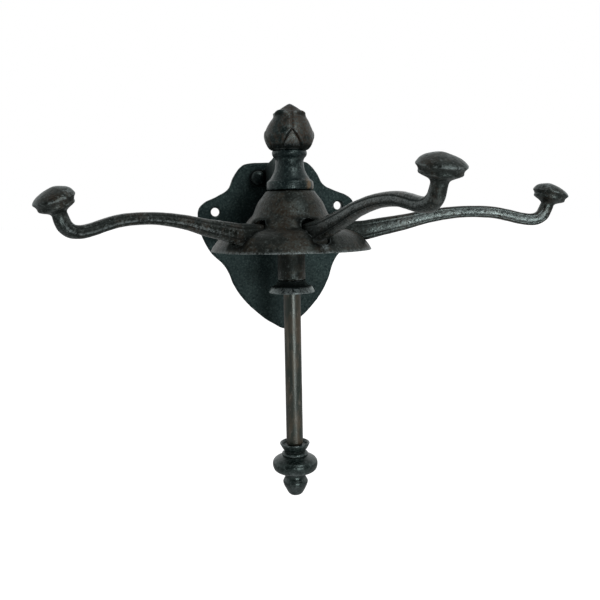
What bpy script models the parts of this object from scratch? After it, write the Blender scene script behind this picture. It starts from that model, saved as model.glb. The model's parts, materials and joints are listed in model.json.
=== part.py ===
"""Cast-iron sliding coat hook for a wall.

A shield-shaped back plate carries a bracket whose turned neck holds an upright rod. A bell-shaped
hub with hook arms slides up and down that rod on a friction collar and swivels round it.
Each arm passes through a slot in the bell and rocks a little on a pin inside it.

Lengths are in metres and angles in degrees. The origin is on the wall, midway between the two
screw holes: +X runs to the right, +Y into the wall and +Z up. Azimuths are measured round the rod
from +X towards the room.
"""

import math

import bmesh
import bpy
from mathutils import Matrix, Vector

# Clearances
TOUCH_GAP = 0.0003
BOOLEAN_OVERRUN = 0.002
MERGE_DISTANCE = 0.00001

# Back plate
PLATE_HALF_WIDTH = 0.0492
PLATE_TOP = 0.0282
PLATE_DROP = 0.0752
PLATE_THICKNESS = 0.005
PLATE_EDGE_BEVEL = 0.0016
PLATE_SKEW = 2.2
SCREW_SPACING = 0.0768
SCREW_HOLE_RADIUS = 0.0026
COUNTERSINK_RADIUS = 0.0036
COUNTERSINK_DEPTH = 0.0014

# Rod and its two spigots
ROD_RADIUS = 0.00475
ROD_CHAMFER = 0.0005
SPIGOT_RADIUS = 0.003

# Bracket that stands the neck off the wall
RIM_TO_PLATE = 0.003
FOOT_BOTTOM = 0.0096
FOOT_RADIUS = 0.0128
NECK_HEIGHT = 0.0213
PAD_THICKNESS = 0.003
PAD_HEIGHT = 0.0186
PAD_END_RADIUS = 0.0053
PAD_BEVEL = 0.0006
WEB_HALF_WIDTH = 0.0078
WEB_NECK_HALF_WIDTH = 0.0082
WEB_END_BEHIND_AXIS = 0.0030
WEB_TOP_BELOW_NECK = 0.0009
WEB_TOP_BELOW_PLATE = 0.0016
WEB_BOTTOM_ABOVE_FOOT = 0.0024
WEB_BEVEL = 0.0014

# Rivets that hold the bracket to the plate
RIVET_SPACING = 0.024
RIVET_HEAD_RADIUS = 0.0042
RIVET_HEAD_HEIGHT = 0.0026
RIVET_SHANK_RADIUS = 0.0018

# Bud finial
BUD_RADIUS = 0.0136
BUD_HEIGHT = 0.0247
BUD_SOCKET_DEPTH = 0.009
BUD_PETALS = 4
PETAL_GROOVE = 0.0016
PETAL_GROOVE_SHARPNESS = 24
PETAL_TIP_SHARE = 0.84

# Bell hub and its sleeve
BELL_RIM_RADIUS = 0.0445
BELL_HEIGHT = 0.0324
BELL_TOP_GAP = 0.0006
BELL_WALL = 0.003
SLEEVE_RADIUS = 0.0077
SLEEVE_LENGTH = 0.0164
SLOT_SIDE_CLEARANCE = 0.0007
SLOT_HEIGHT_CLEARANCE = 0.0008

# Hinge pins and the webs that carry them
PIN_OFFSET = 0.020
PIN_DEPTH = 0.0220
PIN_RADIUS = 0.0016
LUG_THICKNESS = 0.003
LUG_SIDE_CLEARANCE = 0.0004
LUG_HEIGHT = 0.010
LUG_REACH = 0.0033
SLEEVE_OVERLAP = 0.0009
HEEL_STOP_LENGTH = 0.0028
HEEL_STOP_DEPTH = 0.0022

# Arms
ARM_REACHES = {"left": 0.1414, "middle": 0.1414, "right": 0.1411}
ARM_RISE = 0.0208
ARM_ROOT_DEPTH = 0.0110
ARM_ROOT_WIDTH = 0.0080
ARM_STEM_DEPTH = 0.0061
ARM_STEM_WIDTH = 0.0062
ARM_LIFT = 3.0
KNOB_RADII = {"left": 0.0087, "middle": 0.0098, "right": 0.0094}
KNOB_HEIGHT = 0.0112
KNOB_LEAN = 14.5
ARM_AZIMUTHS = {"left": 141.6, "middle": 76.1, "right": 12.6}
ARM_TILTS = {"left": -1.45, "middle": 2.95, "right": -1.0}

# Friction collar under the hub
COLLAR_RADIUS = 0.0130
COLLAR_HEIGHT = 0.0068
FRICTION_RING_WALL = 0.0013
FRICTION_RING_HEIGHT = 0.0026

# Stop knob at the rod's lower end
SLIDE_TRAVEL = 0.0861
STOP_RADIUS = 0.0129
STOP_HEIGHT = 0.0315
STOP_SOCKET_DEPTH = 0.0120

# Roundness
ROUND_STEPS = 32
BELL_STEPS = 56
SMALL_STEPS = 20
OUTLINE_STEPS = 4
QUARTER_STEPS = 6
EDGE_STEPS = 2
SHARP_ANGLE = 35.0
FLAT_ANGLE = 1.0

# Outline of the plate's right half, from the top centre down to the lower tip: shares of its
# half width, and of its top above the screws or its drop below them.
PLATE_TOP_OUTLINE_SHARES = [
    (0.00, 1.00), (0.34, 1.00), (0.435, 0.93), (0.53, 0.72), (0.60, 0.48), (0.75, 0.33),
    (0.90, 0.22), (0.985, 0.06),
]
PLATE_DROP_OUTLINE_SHARES = [
    (0.995, 0.08), (0.96, 0.195), (0.87, 0.325), (0.725, 0.43), (0.66, 0.51), (0.62, 0.59),
    (0.56, 0.67), (0.48, 0.745), (0.38, 0.82), (0.25, 0.90), (0.12, 0.96), (0.0, 1.0),
]

# Turned outlines, down the outer side: shares of the piece's radius and of its height.
NECK_OUTLINE_SHARES = [
    (0.67, 1.00), (0.715, 0.965), (0.725, 0.90), (0.70, 0.86), (0.63, 0.80), (0.60, 0.735),
    (0.615, 0.62), (0.645, 0.51), (0.75, 0.375), (0.86, 0.27), (0.98, 0.195), (1.00, 0.165),
    (1.00, 0.02), (0.98, 0.0),
]
BUD_OUTLINE_SHARES = [
    (0.0, 1.00), (0.17, 0.965), (0.32, 0.905), (0.47, 0.865), (0.62, 0.825), (0.66, 0.72),
    (0.79, 0.60), (0.92, 0.46), (0.985, 0.35), (1.0, 0.28), (0.97, 0.19), (0.88, 0.10),
    (0.77, 0.035), (0.68, 0.0),
]
BELL_OUTLINE_SHARES = [
    (0.29, 1.0), (0.305, 0.985), (0.353, 0.90), (0.402, 0.81), (0.438, 0.70), (0.472, 0.60),
    (0.535, 0.51), (0.580, 0.43), (0.598, 0.378), (0.68, 0.355), (0.755, 0.33), (0.854, 0.26),
    (0.921, 0.167), (0.971, 0.074), (1.0, 0.0),
]
KNOB_OUTLINE_SHARES = [
    (0.0, 1.0), (0.34, 0.967), (0.60, 0.90), (0.83, 0.785), (1.0, 0.615), (0.985, 0.565),
    (0.86, 0.47), (0.85, 0.37), (0.72, 0.27), (0.54, 0.20), (0.42, 0.12), (0.36, 0.0),
]
KNOB_RIDGE_SHARE = 0.60
COLLAR_OUTLINE_SHARES = [
    (0.62, 1.0), (0.64, 0.86), (0.70, 0.68), (0.84, 0.52), (0.90, 0.40), (0.985, 0.10),
    (0.97, 0.0),
]
STOP_OUTLINE_SHARES = [
    (0.49, 0.95), (0.575, 0.99), (0.63, 1.0), (0.655, 0.975), (0.60, 0.93), (0.54, 0.885),
    (0.47, 0.86), (0.465, 0.832), (0.55, 0.812), (0.585, 0.786), (0.55, 0.75), (0.72, 0.73),
    (0.88, 0.70), (0.97, 0.66), (1.0, 0.61), (0.985, 0.553), (0.92, 0.498), (0.76, 0.458),
    (0.50, 0.435), (0.455, 0.40), (0.465, 0.35), (0.54, 0.29), (0.555, 0.25), (0.50, 0.185),
    (0.39, 0.10), (0.30, 0.04), (0.17, 0.008), (0.0, 0.0),
]

# An arm's centreline from its pin to its knob: shares of the way out and of the rise, then how far
# its section has gone from the root's size, 0, to the stem's, 1.
ARM_PATH_SHARES = [
    (-0.033, 0.0, 1.1), (-0.022, 0.0, 0.75), (0.0, 0.0, 0.60), (0.06, 0.0, 0.32),
    (0.12, 0.0, 0.05), (0.17, 0.02, 0.05), (0.25, 0.117, 0.25), (0.35, 0.234, 0.50),
    (0.45, 0.376, 0.75), (0.55, 0.468, 0.92), (0.64, 0.507, 1.0), (0.74, 0.488, 1.0),
    (0.81, 0.415, 1.0), (0.865, 0.337, 1.0), (0.908, 0.303, 0.98), (0.939, 0.327, 0.92),
    (0.960, 0.41, 0.86), (0.972, 0.522, 0.84), (0.984, 0.67, 0.84),
]
ARM_SECTION_SIDES = 12
SLOT_END_SHARE = 0.93
SLOT_STATION_SHARES = (0.0, 0.25, 0.5, 0.75, 1.0)
STOP_DISH_SHARE = STOP_OUTLINE_SHARES[0][1]
ARM_SQUARENESS = 2.6

# Places that follow from the sizes
AXIS_Y = -(PLATE_THICKNESS + RIM_TO_PLATE + BELL_RIM_RADIUS)
NECK_TOP = FOOT_BOTTOM + NECK_HEIGHT
BELL_TOP = FOOT_BOTTOM - BELL_TOP_GAP
BELL_RIM = BELL_TOP - BELL_HEIGHT
SLEEVE_END = BELL_RIM - SLEEVE_LENGTH
COLLAR_TOP = SLEEVE_END - TOUCH_GAP
COLLAR_BOTTOM = COLLAR_TOP - COLLAR_HEIGHT
STOP_TOP = COLLAR_BOTTOM - TOUCH_GAP - SLIDE_TRAVEL
PIN_Z = BELL_TOP - PIN_DEPTH
BORE_RADIUS = ROD_RADIUS + TOUCH_GAP
SPIGOT_BORE_RADIUS = SPIGOT_RADIUS + TOUCH_GAP
PIN_BORE_RADIUS = PIN_RADIUS + TOUCH_GAP

# Colour, roughness and metallic value of each finish
DARK_IRON = ("dark_iron", (0.030, 0.038, 0.038, 1.0), 0.62, 0.55)
BROWN_IRON = ("brown_iron", (0.055, 0.042, 0.036, 1.0), 0.52, 0.60)
ROD_IRON = ("rubbed_rod_iron", (0.110, 0.090, 0.072, 1.0), 0.42, 0.75)
PIN_STEEL = ("pin_steel", (0.20, 0.19, 0.18, 1.0), 0.40, 0.85)


def clear_scene():
    """Removes what the file holds before the hook is built."""
    for obj in list(bpy.data.objects):
        bpy.data.objects.remove(obj, do_unlink=True)


def new_collection(name):
    """A collection linked to the scene."""
    made = bpy.data.collections.new(name)
    bpy.context.scene.collection.children.link(made)
    return made


def finish_material(finish):
    """The Principled material of a finish, made once."""
    name, colour, roughness, metallic = finish
    found = bpy.data.materials.get(name)
    if found:
        return found
    made = bpy.data.materials.new(name)
    made.use_nodes = True
    shader = made.node_tree.nodes["Principled BSDF"]
    shader.inputs["Base Color"].default_value = colour
    shader.inputs["Roughness"].default_value = roughness
    shader.inputs["Metallic"].default_value = metallic
    return made


def add_object(name, mesh, home, finish=None):
    """A mesh object in its collection, with its finish."""
    obj = bpy.data.objects.new(name, mesh)
    home.objects.link(obj)
    if finish:
        mesh.materials.append(finish_material(finish))
    return obj


def as_tool(obj):
    """Marks a cutter or a piece that is only joined into another."""
    obj.hide_render = True
    obj.display_type = "WIRE"
    return obj


def mesh_from(builder, name):
    """A mesh written from a bmesh, which is then freed."""
    mesh = bpy.data.meshes.new(name)
    bmesh.ops.recalc_face_normals(builder, faces=builder.faces)
    builder.to_mesh(mesh)
    builder.free()
    return mesh


def smooth(obj):
    """Smooth shading with the sharp edges kept."""
    obj.data.shade_smooth()
    obj.data.set_sharp_from_angle(angle=math.radians(SHARP_ANGLE))


def scaled(shares, radius, height, base):
    """Points of a turned outline from its shares: (radius, height above the origin)."""
    return [(r * radius, base + h * height) for r, h in shares]


def turned(name, points, home, finish=None, steps=ROUND_STEPS, ring=False):
    """A turned piece on the Z axis: its outline swept once round by a Screw modifier."""
    builder = bmesh.new()
    corners = [builder.verts.new((r, 0.0, z)) for r, z in points]
    for first, second in zip(corners, corners[1:]):
        builder.edges.new((first, second))
    if ring:
        builder.edges.new((corners[-1], corners[0]))
    mesh = bpy.data.meshes.new(name)
    builder.to_mesh(mesh)
    builder.free()
    obj = add_object(name, mesh, home, finish)
    screw = obj.modifiers.new("turn", "SCREW")
    screw.axis = "Z"
    screw.steps = steps
    screw.render_steps = steps
    screw.use_merge_vertices = True
    screw.merge_threshold = MERGE_DISTANCE
    screw.use_smooth_shade = True
    return obj


def baked(obj):
    """The object with its modifiers applied to its mesh."""
    bpy.context.view_layer.update()
    graph = bpy.context.evaluated_depsgraph_get()
    mesh = bpy.data.meshes.new_from_object(obj.evaluated_get(graph))
    obj.modifiers.clear()
    obj.data = mesh
    return obj


def cylinder(name, radius, length, home, finish=None, steps=SMALL_STEPS):
    """A cylinder on the Z axis, centred on the origin."""
    builder = bmesh.new()
    bmesh.ops.create_cone(
        builder, cap_ends=True, segments=steps, radius1=radius, radius2=radius, depth=length
    )
    return add_object(name, mesh_from(builder, name), home, finish)


def block(name, low, high, home, finish=None):
    """A box between two corners."""
    builder = bmesh.new()
    bmesh.ops.create_cube(builder, size=1.0)
    for vert in builder.verts:
        vert.co = Vector(b if c > 0 else a for a, b, c in zip(low, high, vert.co))
    return add_object(name, mesh_from(builder, name), home, finish)


def boolean(obj, other, operation):
    """Cuts other from obj, or joins it to obj."""
    modifier = obj.modifiers.new(other.name, "BOOLEAN")
    modifier.operation = operation
    modifier.object = other
    modifier.solver = "EXACT"


def bevelled(obj, width):
    """Rounds an object's sharp edges."""
    bevel = obj.modifiers.new("edges", "BEVEL")
    bevel.width = width
    bevel.segments = EDGE_STEPS
    bevel.limit_method = "ANGLE"


def place(obj, location, turn=(0.0, 0.0, 0.0), parent=None):
    """Sets where an object stands, under its parent if it has one."""
    obj.location = location
    obj.rotation_euler = turn
    obj.parent = parent
    return obj


def empty(name, location, home, turn=(0.0, 0.0, 0.0), parent=None):
    """An empty that marks a joint's axis."""
    marker = bpy.data.objects.new(name, None)
    home.objects.link(marker)
    return place(marker, location, turn, parent)


def quarter_turns(first, count):
    """Angles in radians from a first angle in degrees, round that many quarter turns."""
    step = 90 / QUARTER_STEPS
    return [math.radians(first + step * index) for index in range(count * QUARTER_STEPS + 1)]


def plate_outline():
    """Corner points of the plate's outline, right half and then left half, going round."""
    upper = [(x * PLATE_HALF_WIDTH, z * PLATE_TOP) for x, z in PLATE_TOP_OUTLINE_SHARES]
    lower = [(x * PLATE_HALF_WIDTH, -z * PLATE_DROP) for x, z in PLATE_DROP_OUTLINE_SHARES]
    right = upper + lower
    return right + [(-x, z) for x, z in reversed(right[1:-1])]


def filled_outline(name, points, thickness, smooth_points, home):
    """A flat outline in the XZ plane given a thickness along Y, its back on the plane Y = 0."""
    curve = bpy.data.curves.new(name, "CURVE")
    curve.dimensions = "2D"
    curve.fill_mode = "BOTH"
    curve.extrude = thickness / 2
    curve.resolution_u = OUTLINE_STEPS
    spline = curve.splines.new("BEZIER" if smooth_points else "POLY")
    spline.use_cyclic_u = True
    if smooth_points:
        spline.bezier_points.add(len(points) - 1)
        for knot, (x, z) in zip(spline.bezier_points, points):
            knot.co = (x, z, 0.0)
            knot.handle_left_type = "AUTO"
            knot.handle_right_type = "AUTO"
    else:
        spline.points.add(len(points) - 1)
        for knot, (x, z) in zip(spline.points, points):
            knot.co = (x, z, 0.0, 1.0)
    drawn = bpy.data.objects.new(name, curve)
    home.objects.link(drawn)
    bpy.context.view_layer.update()
    graph = bpy.context.evaluated_depsgraph_get()
    mesh = bpy.data.meshes.new_from_object(drawn.evaluated_get(graph))
    bpy.data.objects.remove(drawn, do_unlink=True)
    stand = Matrix.Translation((0.0, -thickness / 2, 0.0)) @ Matrix.Rotation(math.pi / 2, 4, "X")
    mesh.transform(stand)
    builder = bmesh.new()
    builder.from_mesh(mesh)
    bmesh.ops.remove_doubles(builder, verts=builder.verts, dist=MERGE_DISTANCE)
    bmesh.ops.dissolve_limit(
        builder, angle_limit=math.radians(FLAT_ANGLE), verts=builder.verts, edges=builder.edges
    )
    bmesh.ops.recalc_face_normals(builder, faces=builder.faces)
    builder.to_mesh(mesh)
    builder.free()
    return mesh


def bevel_front_rim(mesh, front, width):
    """Chamfers the edge of a flat piece's front face."""
    builder = bmesh.new()
    builder.from_mesh(mesh)
    rim = [
        edge
        for edge in builder.edges
        if all(abs(vert.co.y - front) < MERGE_DISTANCE for vert in edge.verts)
        and edge.calc_face_angle(0.0) > math.radians(SHARP_ANGLE)
    ]
    bmesh.ops.bevel(
        builder,
        geom=rim,
        offset=width,
        segments=EDGE_STEPS,
        profile=0.5,
        affect="EDGES",
        clamp_overlap=True,
    )
    bmesh.ops.recalc_face_normals(builder, faces=builder.faces)
    builder.to_mesh(mesh)
    builder.free()


def build_plate(parts, tools):
    """The shield-shaped back plate with its two countersunk screw holes and rivet holes."""
    mesh = filled_outline("back_plate", plate_outline(), PLATE_THICKNESS, True, parts)
    bevel_front_rim(mesh, -PLATE_THICKNESS, PLATE_EDGE_BEVEL)
    plate = add_object("back_plate", mesh, parts, DARK_IRON)
    skew = (0.0, -math.radians(PLATE_SKEW), 0.0)
    place(plate, (0.0, 0.0, 0.0), skew)
    for side, sign in (("left", -1), ("right", 1)):
        hole = screw_hole(f"{side}_screw_hole", tools)
        centre = Matrix.Rotation(-math.radians(PLATE_SKEW), 3, "Y") @ Vector(
            (sign * SCREW_SPACING / 2, -PLATE_THICKNESS, 0.0)
        )
        place(hole, centre, (math.pi / 2, 0.0, 0.0))
        boolean(plate, hole, "DIFFERENCE")
    return plate


def screw_hole(name, tools):
    """A countersunk hole's cutter, with the plate's front face at its Z = 0 and the room at +Z."""
    over = BOOLEAN_OVERRUN
    flare = (COUNTERSINK_RADIUS - SCREW_HOLE_RADIUS) / COUNTERSINK_DEPTH
    points = [
        (0.0, over),
        (COUNTERSINK_RADIUS + flare * over, over),
        (SCREW_HOLE_RADIUS, -COUNTERSINK_DEPTH),
        (SCREW_HOLE_RADIUS, -PLATE_THICKNESS - over),
        (0.0, -PLATE_THICKNESS - over),
    ]
    return as_tool(turned(name, points, tools))


def build_bracket(parts, tools, plate):
    """The bracket: turned neck, deep web back to the plate, and a pad with two rivets."""
    outline = scaled(NECK_OUTLINE_SHARES, FOOT_RADIUS, NECK_HEIGHT, FOOT_BOTTOM)
    points = [(0.0, NECK_TOP), *outline, (0.0, FOOT_BOTTOM)]
    bracket = turned("top_bracket", points, parts, DARK_IRON)
    place(bracket, (0.0, AXIS_Y, 0.0))
    pad_back = -PLATE_THICKNESS - TOUCH_GAP
    boolean(bracket, bracket_web(tools, pad_back), "UNION")
    boolean(bracket, bracket_pad(tools, pad_back), "UNION")
    bore = as_tool(
        cylinder("neck_bore", SPIGOT_BORE_RADIUS, NECK_HEIGHT + 2 * BOOLEAN_OVERRUN, tools)
    )
    place(bore, (0.0, AXIS_Y, FOOT_BOTTOM + NECK_HEIGHT / 2))
    boolean(bracket, bore, "DIFFERENCE")
    for side, sign in (("left", -1), ("right", 1)):
        hole = as_tool(
            cylinder(
                f"{side}_rivet_hole",
                RIVET_SHANK_RADIUS + TOUCH_GAP,
                PLATE_THICKNESS + PAD_THICKNESS + 2 * BOOLEAN_OVERRUN,
                tools,
            )
        )
        place(
            hole,
            (sign * RIVET_SPACING / 2, -(PLATE_THICKNESS + PAD_THICKNESS) / 2, PAD_HEIGHT),
            (math.pi / 2, 0.0, 0.0),
        )
        boolean(bracket, hole, "DIFFERENCE")
        boolean(plate, hole, "DIFFERENCE")
    return bracket


def bracket_web(tools, pad_back):
    """The deep web between the pad and the neck: it rises and widens a little to the neck."""
    web = block(
        "bracket_web",
        (-1.0, AXIS_Y + WEB_END_BEHIND_AXIS, FOOT_BOTTOM + WEB_BOTTOM_ABOVE_FOOT),
        (1.0, pad_back, NECK_TOP - WEB_TOP_BELOW_NECK),
        tools,
    )
    for vert in web.data.vertices:
        at_plate = vert.co.y > (AXIS_Y + pad_back) / 2
        vert.co.x *= WEB_HALF_WIDTH if at_plate else WEB_NECK_HALF_WIDTH
        if at_plate and vert.co.z > PAD_HEIGHT:
            vert.co.z = PLATE_TOP - WEB_TOP_BELOW_PLATE
    bevelled(web, WEB_BEVEL)
    return as_tool(web)


def bracket_pad(tools, pad_back):
    """The flat pad behind the web, an oblong with round ends centred on the rivets."""
    right = [
        (RIVET_SPACING / 2 + PAD_END_RADIUS * math.cos(a), PAD_END_RADIUS * math.sin(a))
        for a in quarter_turns(-90, 2)
    ]
    points = right + [(-x, z) for x, z in reversed(right)]
    mesh = filled_outline("bracket_pad", points, PAD_THICKNESS, False, tools)
    bevel_front_rim(mesh, -PAD_THICKNESS, PAD_BEVEL)
    pad = add_object("bracket_pad", mesh, tools)
    place(pad, (0.0, pad_back, PAD_HEIGHT))
    return as_tool(pad)


def build_rivets(parts):
    """The two domed rivets, each through the pad and the plate."""
    seat = -PLATE_THICKNESS - 2 * TOUCH_GAP - PAD_THICKNESS
    shank = -seat - TOUCH_GAP
    dome = [
        (RIVET_HEAD_RADIUS * math.sin(a), RIVET_HEAD_HEIGHT * math.cos(a))
        for a in quarter_turns(0, 1)
    ]
    points = [*dome, (RIVET_SHANK_RADIUS, 0.0), (RIVET_SHANK_RADIUS, -shank), (0.0, -shank)]
    for side, sign in (("left", -1), ("right", 1)):
        rivet = turned(f"{side}_rivet", points, parts, DARK_IRON, SMALL_STEPS)
        place(rivet, (sign * RIVET_SPACING / 2, seat, PAD_HEIGHT), (math.pi / 2, 0.0, 0.0))


def build_rod(parts):
    """The upright rod, with a spigot up through the neck and one down into the stop knob."""
    shoulder_top = FOOT_BOTTOM - TOUCH_GAP
    shoulder_low = STOP_TOP + (STOP_DISH_SHARE - 1) * STOP_HEIGHT + TOUCH_GAP
    spigot_top = NECK_TOP + BUD_SOCKET_DEPTH - TOUCH_GAP
    spigot_low = STOP_TOP - STOP_SOCKET_DEPTH + TOUCH_GAP
    points = [
        (0.0, spigot_top),
        (SPIGOT_RADIUS, spigot_top),
        (SPIGOT_RADIUS, shoulder_top),
        (ROD_RADIUS - ROD_CHAMFER, shoulder_top),
        (ROD_RADIUS, shoulder_top - ROD_CHAMFER),
        (ROD_RADIUS, shoulder_low + ROD_CHAMFER),
        (ROD_RADIUS - ROD_CHAMFER, shoulder_low),
        (SPIGOT_RADIUS, shoulder_low),
        (SPIGOT_RADIUS, spigot_low),
        (0.0, spigot_low),
    ]
    return place(turned("rod", points, parts, ROD_IRON), (0.0, AXIS_Y, 0.0))


def build_finial(parts):
    """The bud on top: turned, then grooved between its petals, with a socket for the spigot."""
    base = NECK_TOP + TOUCH_GAP
    socket = base + BUD_SOCKET_DEPTH
    points = [
        *scaled(BUD_OUTLINE_SHARES, BUD_RADIUS, BUD_HEIGHT, base),
        (SPIGOT_BORE_RADIUS, base),
        (SPIGOT_BORE_RADIUS, socket),
        (0.0, socket),
    ]
    finial = baked(turned("finial", points, parts, DARK_IRON, ROUND_STEPS + BUD_PETALS * 2))
    for vert in finial.data.vertices:
        radius = math.hypot(vert.co.x, vert.co.y)
        if radius < SPIGOT_BORE_RADIUS + TOUCH_GAP:
            continue
        up_share = min((vert.co.z - base) / BUD_HEIGHT / PETAL_TIP_SHARE, 1.0)
        turn = math.atan2(vert.co.y, vert.co.x)
        groove_share = abs(math.cos(BUD_PETALS / 2 * turn)) ** PETAL_GROOVE_SHARPNESS
        depth = PETAL_GROOVE * groove_share * math.sin(math.pi * max(up_share, 0.0))
        vert.co.x *= 1 - depth / radius
        vert.co.y *= 1 - depth / radius
    smooth(finial)
    return place(finial, (0.0, AXIS_Y, 0.0))


def build_stop(parts):
    """The turned stop knob: dished collar, flat bulb and small bud, with the spigot's socket."""
    socket = STOP_TOP - STOP_SOCKET_DEPTH
    dish = STOP_TOP + (STOP_DISH_SHARE - 1) * STOP_HEIGHT
    points = [
        (0.0, socket),
        (SPIGOT_BORE_RADIUS, socket),
        (SPIGOT_BORE_RADIUS, dish),
        *scaled(STOP_OUTLINE_SHARES, STOP_RADIUS, STOP_HEIGHT, STOP_TOP - STOP_HEIGHT),
    ]
    return place(turned("stop_knob", points, parts, DARK_IRON), (0.0, AXIS_Y, 0.0))


def inner_wall(points, wall):
    """An outline moved inwards by the wall: each point goes along its corner's mean normal."""
    moved = []
    for index, (r, z) in enumerate(points):
        before = Vector(points[max(index - 1, 0)])
        after = Vector(points[min(index + 1, len(points) - 1)])
        along = (after - before).normalized()
        moved.append((r + along.y * wall, z - along.x * wall))
    return moved


def build_hub(parts, tools, swivel):
    """The bell and its sleeve in one casting, slotted for the arms, with webs for their pins."""
    outer = scaled(BELL_OUTLINE_SHARES, BELL_RIM_RADIUS, BELL_HEIGHT, BELL_RIM)
    inner = [(r, z) for r, z in inner_wall(outer, BELL_WALL) if z < BELL_TOP - BELL_WALL]
    inner = [(r, z) for r, z in inner if z > BELL_RIM]
    lip = (BELL_RIM_RADIUS - BELL_WALL, BELL_RIM)
    roof = min(BELL_TOP - BELL_WALL, inner[0][1] + BELL_WALL)
    points = [
        (BORE_RADIUS, BELL_TOP),
        *outer,
        lip,
        *reversed(inner),
        (SLEEVE_RADIUS, roof),
        (SLEEVE_RADIUS, SLEEVE_END),
        (BORE_RADIUS, SLEEVE_END),
    ]
    hub = turned("hub_bell", points, parts, BROWN_IRON, BELL_STEPS, ring=True)
    return place(hub, (0.0, 0.0, 0.0), parent=swivel)


def arm_station(along, out):
    """The arm's rise and half depth at a distance along it from its pin, of its length out."""
    share = min(max(along / out, ARM_PATH_SHARES[0][0]), ARM_PATH_SHARES[-1][0])
    for (a0, h0, t0), (a1, h1, t1) in zip(ARM_PATH_SHARES, ARM_PATH_SHARES[1:]):
        if a0 <= share <= a1:
            gone_share = (share - a0) / (a1 - a0)
            break
    taper_share = t0 + (t1 - t0) * gone_share
    depth = ARM_ROOT_DEPTH + (ARM_STEM_DEPTH - ARM_ROOT_DEPTH) * taper_share
    return (h0 + (h1 - h0) * gone_share) * ARM_RISE, depth / 2


def add_slot(hub, side, pivot, tools):
    """Cuts the arm's slot through the bell, tilted with the arm and tall enough for its lift."""
    out = ARM_REACHES[side] - PIN_OFFSET
    near = ARM_PATH_SHARES[0][0] * out - SLOT_SIDE_CLEARANCE
    far = BELL_RIM_RADIUS * SLOT_END_SHARE - PIN_OFFSET
    reach = ARM_ROOT_WIDTH / 2 + SLOT_SIDE_CLEARANCE
    cutter = block(f"{side}_slot", (near, -reach, -1.0), (far, reach, 1.0), tools)
    stations = [arm_station(far * share, out) for share in SLOT_STATION_SHARES]
    floor = min(rise - half for rise, half in stations) - SLOT_HEIGHT_CLEARANCE
    for vert in cutter.data.vertices:
        rise, half = arm_station(vert.co.x, out)
        lift = math.tan(math.radians(ARM_LIFT)) * max(vert.co.x, 0.0)
        roof = rise + half + lift + SLOT_HEIGHT_CLEARANCE
        vert.co.z = roof if vert.co.z > 0 else floor
    bevelled(cutter, SLOT_HEIGHT_CLEARANCE)
    place(cutter, (0.0, 0.0, 0.0), (0.0, -math.radians(ARM_TILTS[side]), 0.0), pivot)
    boolean(hub, as_tool(cutter), "DIFFERENCE")


def add_lugs(hub, side, pivot, tools):
    """Joins an arm's two pin webs and its heel stop to the bell, and gives the pin's cutter."""
    gap = ARM_ROOT_WIDTH / 2 + LUG_SIDE_CLEARANCE
    sleeve_reach = math.sqrt(max(SLEEVE_RADIUS**2 - gap**2, 0.0))
    inward = sleeve_reach - SLEEVE_OVERLAP - PIN_OFFSET
    for name, sign in (("near", -1), ("far", 1)):
        ends = sorted((sign * gap, sign * (gap + LUG_THICKNESS)))
        lug = block(
            f"{side}_{name}_lug",
            (inward, ends[0], -LUG_HEIGHT / 2),
            (LUG_REACH, ends[1], LUG_HEIGHT / 2),
            tools,
        )
        place(lug, (0.0, 0.0, 0.0), parent=pivot)
        boolean(hub, as_tool(lug), "UNION")
    out = ARM_REACHES[side] - PIN_OFFSET
    heel = arm_station(-PIN_BORE_RADIUS, out)[1] + TOUCH_GAP
    across = gap + LUG_THICKNESS / 2
    ledge = block(
        f"{side}_heel_stop",
        (-PIN_BORE_RADIUS - HEEL_STOP_LENGTH, -across, heel),
        (-PIN_BORE_RADIUS, across, heel + HEEL_STOP_DEPTH),
        tools,
    )
    place(ledge, (0.0, 0.0, 0.0), (0.0, -math.radians(ARM_TILTS[side]), 0.0), pivot)
    boolean(hub, as_tool(ledge), "UNION")
    width = 2 * (gap + LUG_THICKNESS + BOOLEAN_OVERRUN)
    bore = as_tool(cylinder(f"{side}_pin_bore", PIN_BORE_RADIUS, width, tools))
    return place(bore, (0.0, 0.0, 0.0), (math.pi / 2, 0.0, 0.0), pivot)


def build_pin(side, pivot, parts):
    """The hinge pin across an arm's two webs."""
    length = ARM_ROOT_WIDTH + 2 * LUG_SIDE_CLEARANCE + 2 * LUG_THICKNESS
    pin = cylinder(f"{side}_pin", PIN_RADIUS, length, parts, PIN_STEEL)
    smooth(pin)
    return place(pin, (0.0, 0.0, 0.0), (math.pi / 2, 0.0, 0.0), pivot)


def arm_rings(out):
    """Section rings along an arm: rounded-square sections square to a smooth centreline."""
    knots = [Vector((a * out, h * ARM_RISE, t)) for a, h, t in ARM_PATH_SHARES]
    rings = []
    for index in range(len(knots)):
        before = knots[max(index - 1, 0)]
        after = knots[min(index + 1, len(knots) - 1)]
        along = Vector((after.x - before.x, after.y - before.y)).normalized()
        here = knots[index]
        half_depth = (ARM_ROOT_DEPTH + (ARM_STEM_DEPTH - ARM_ROOT_DEPTH) * here.z) / 2
        half_width = (ARM_ROOT_WIDTH + (ARM_STEM_WIDTH - ARM_ROOT_WIDTH) * here.z) / 2
        ring = []
        for side in range(ARM_SECTION_SIDES):
            turn = 2 * math.pi * (side + 0.5) / ARM_SECTION_SIDES
            across = superellipse(math.cos(turn)) * half_width
            up = superellipse(math.sin(turn)) * half_depth
            ring.append(Vector((here.x - along.y * up, across, here.y + along.x * up)))
        rings.append(ring)
    return rings


def superellipse(value):
    """A circle's coordinate pushed out towards a square's, by the arm's squareness."""
    return math.copysign(abs(value) ** (2 / ARM_SQUARENESS), value)


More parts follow.
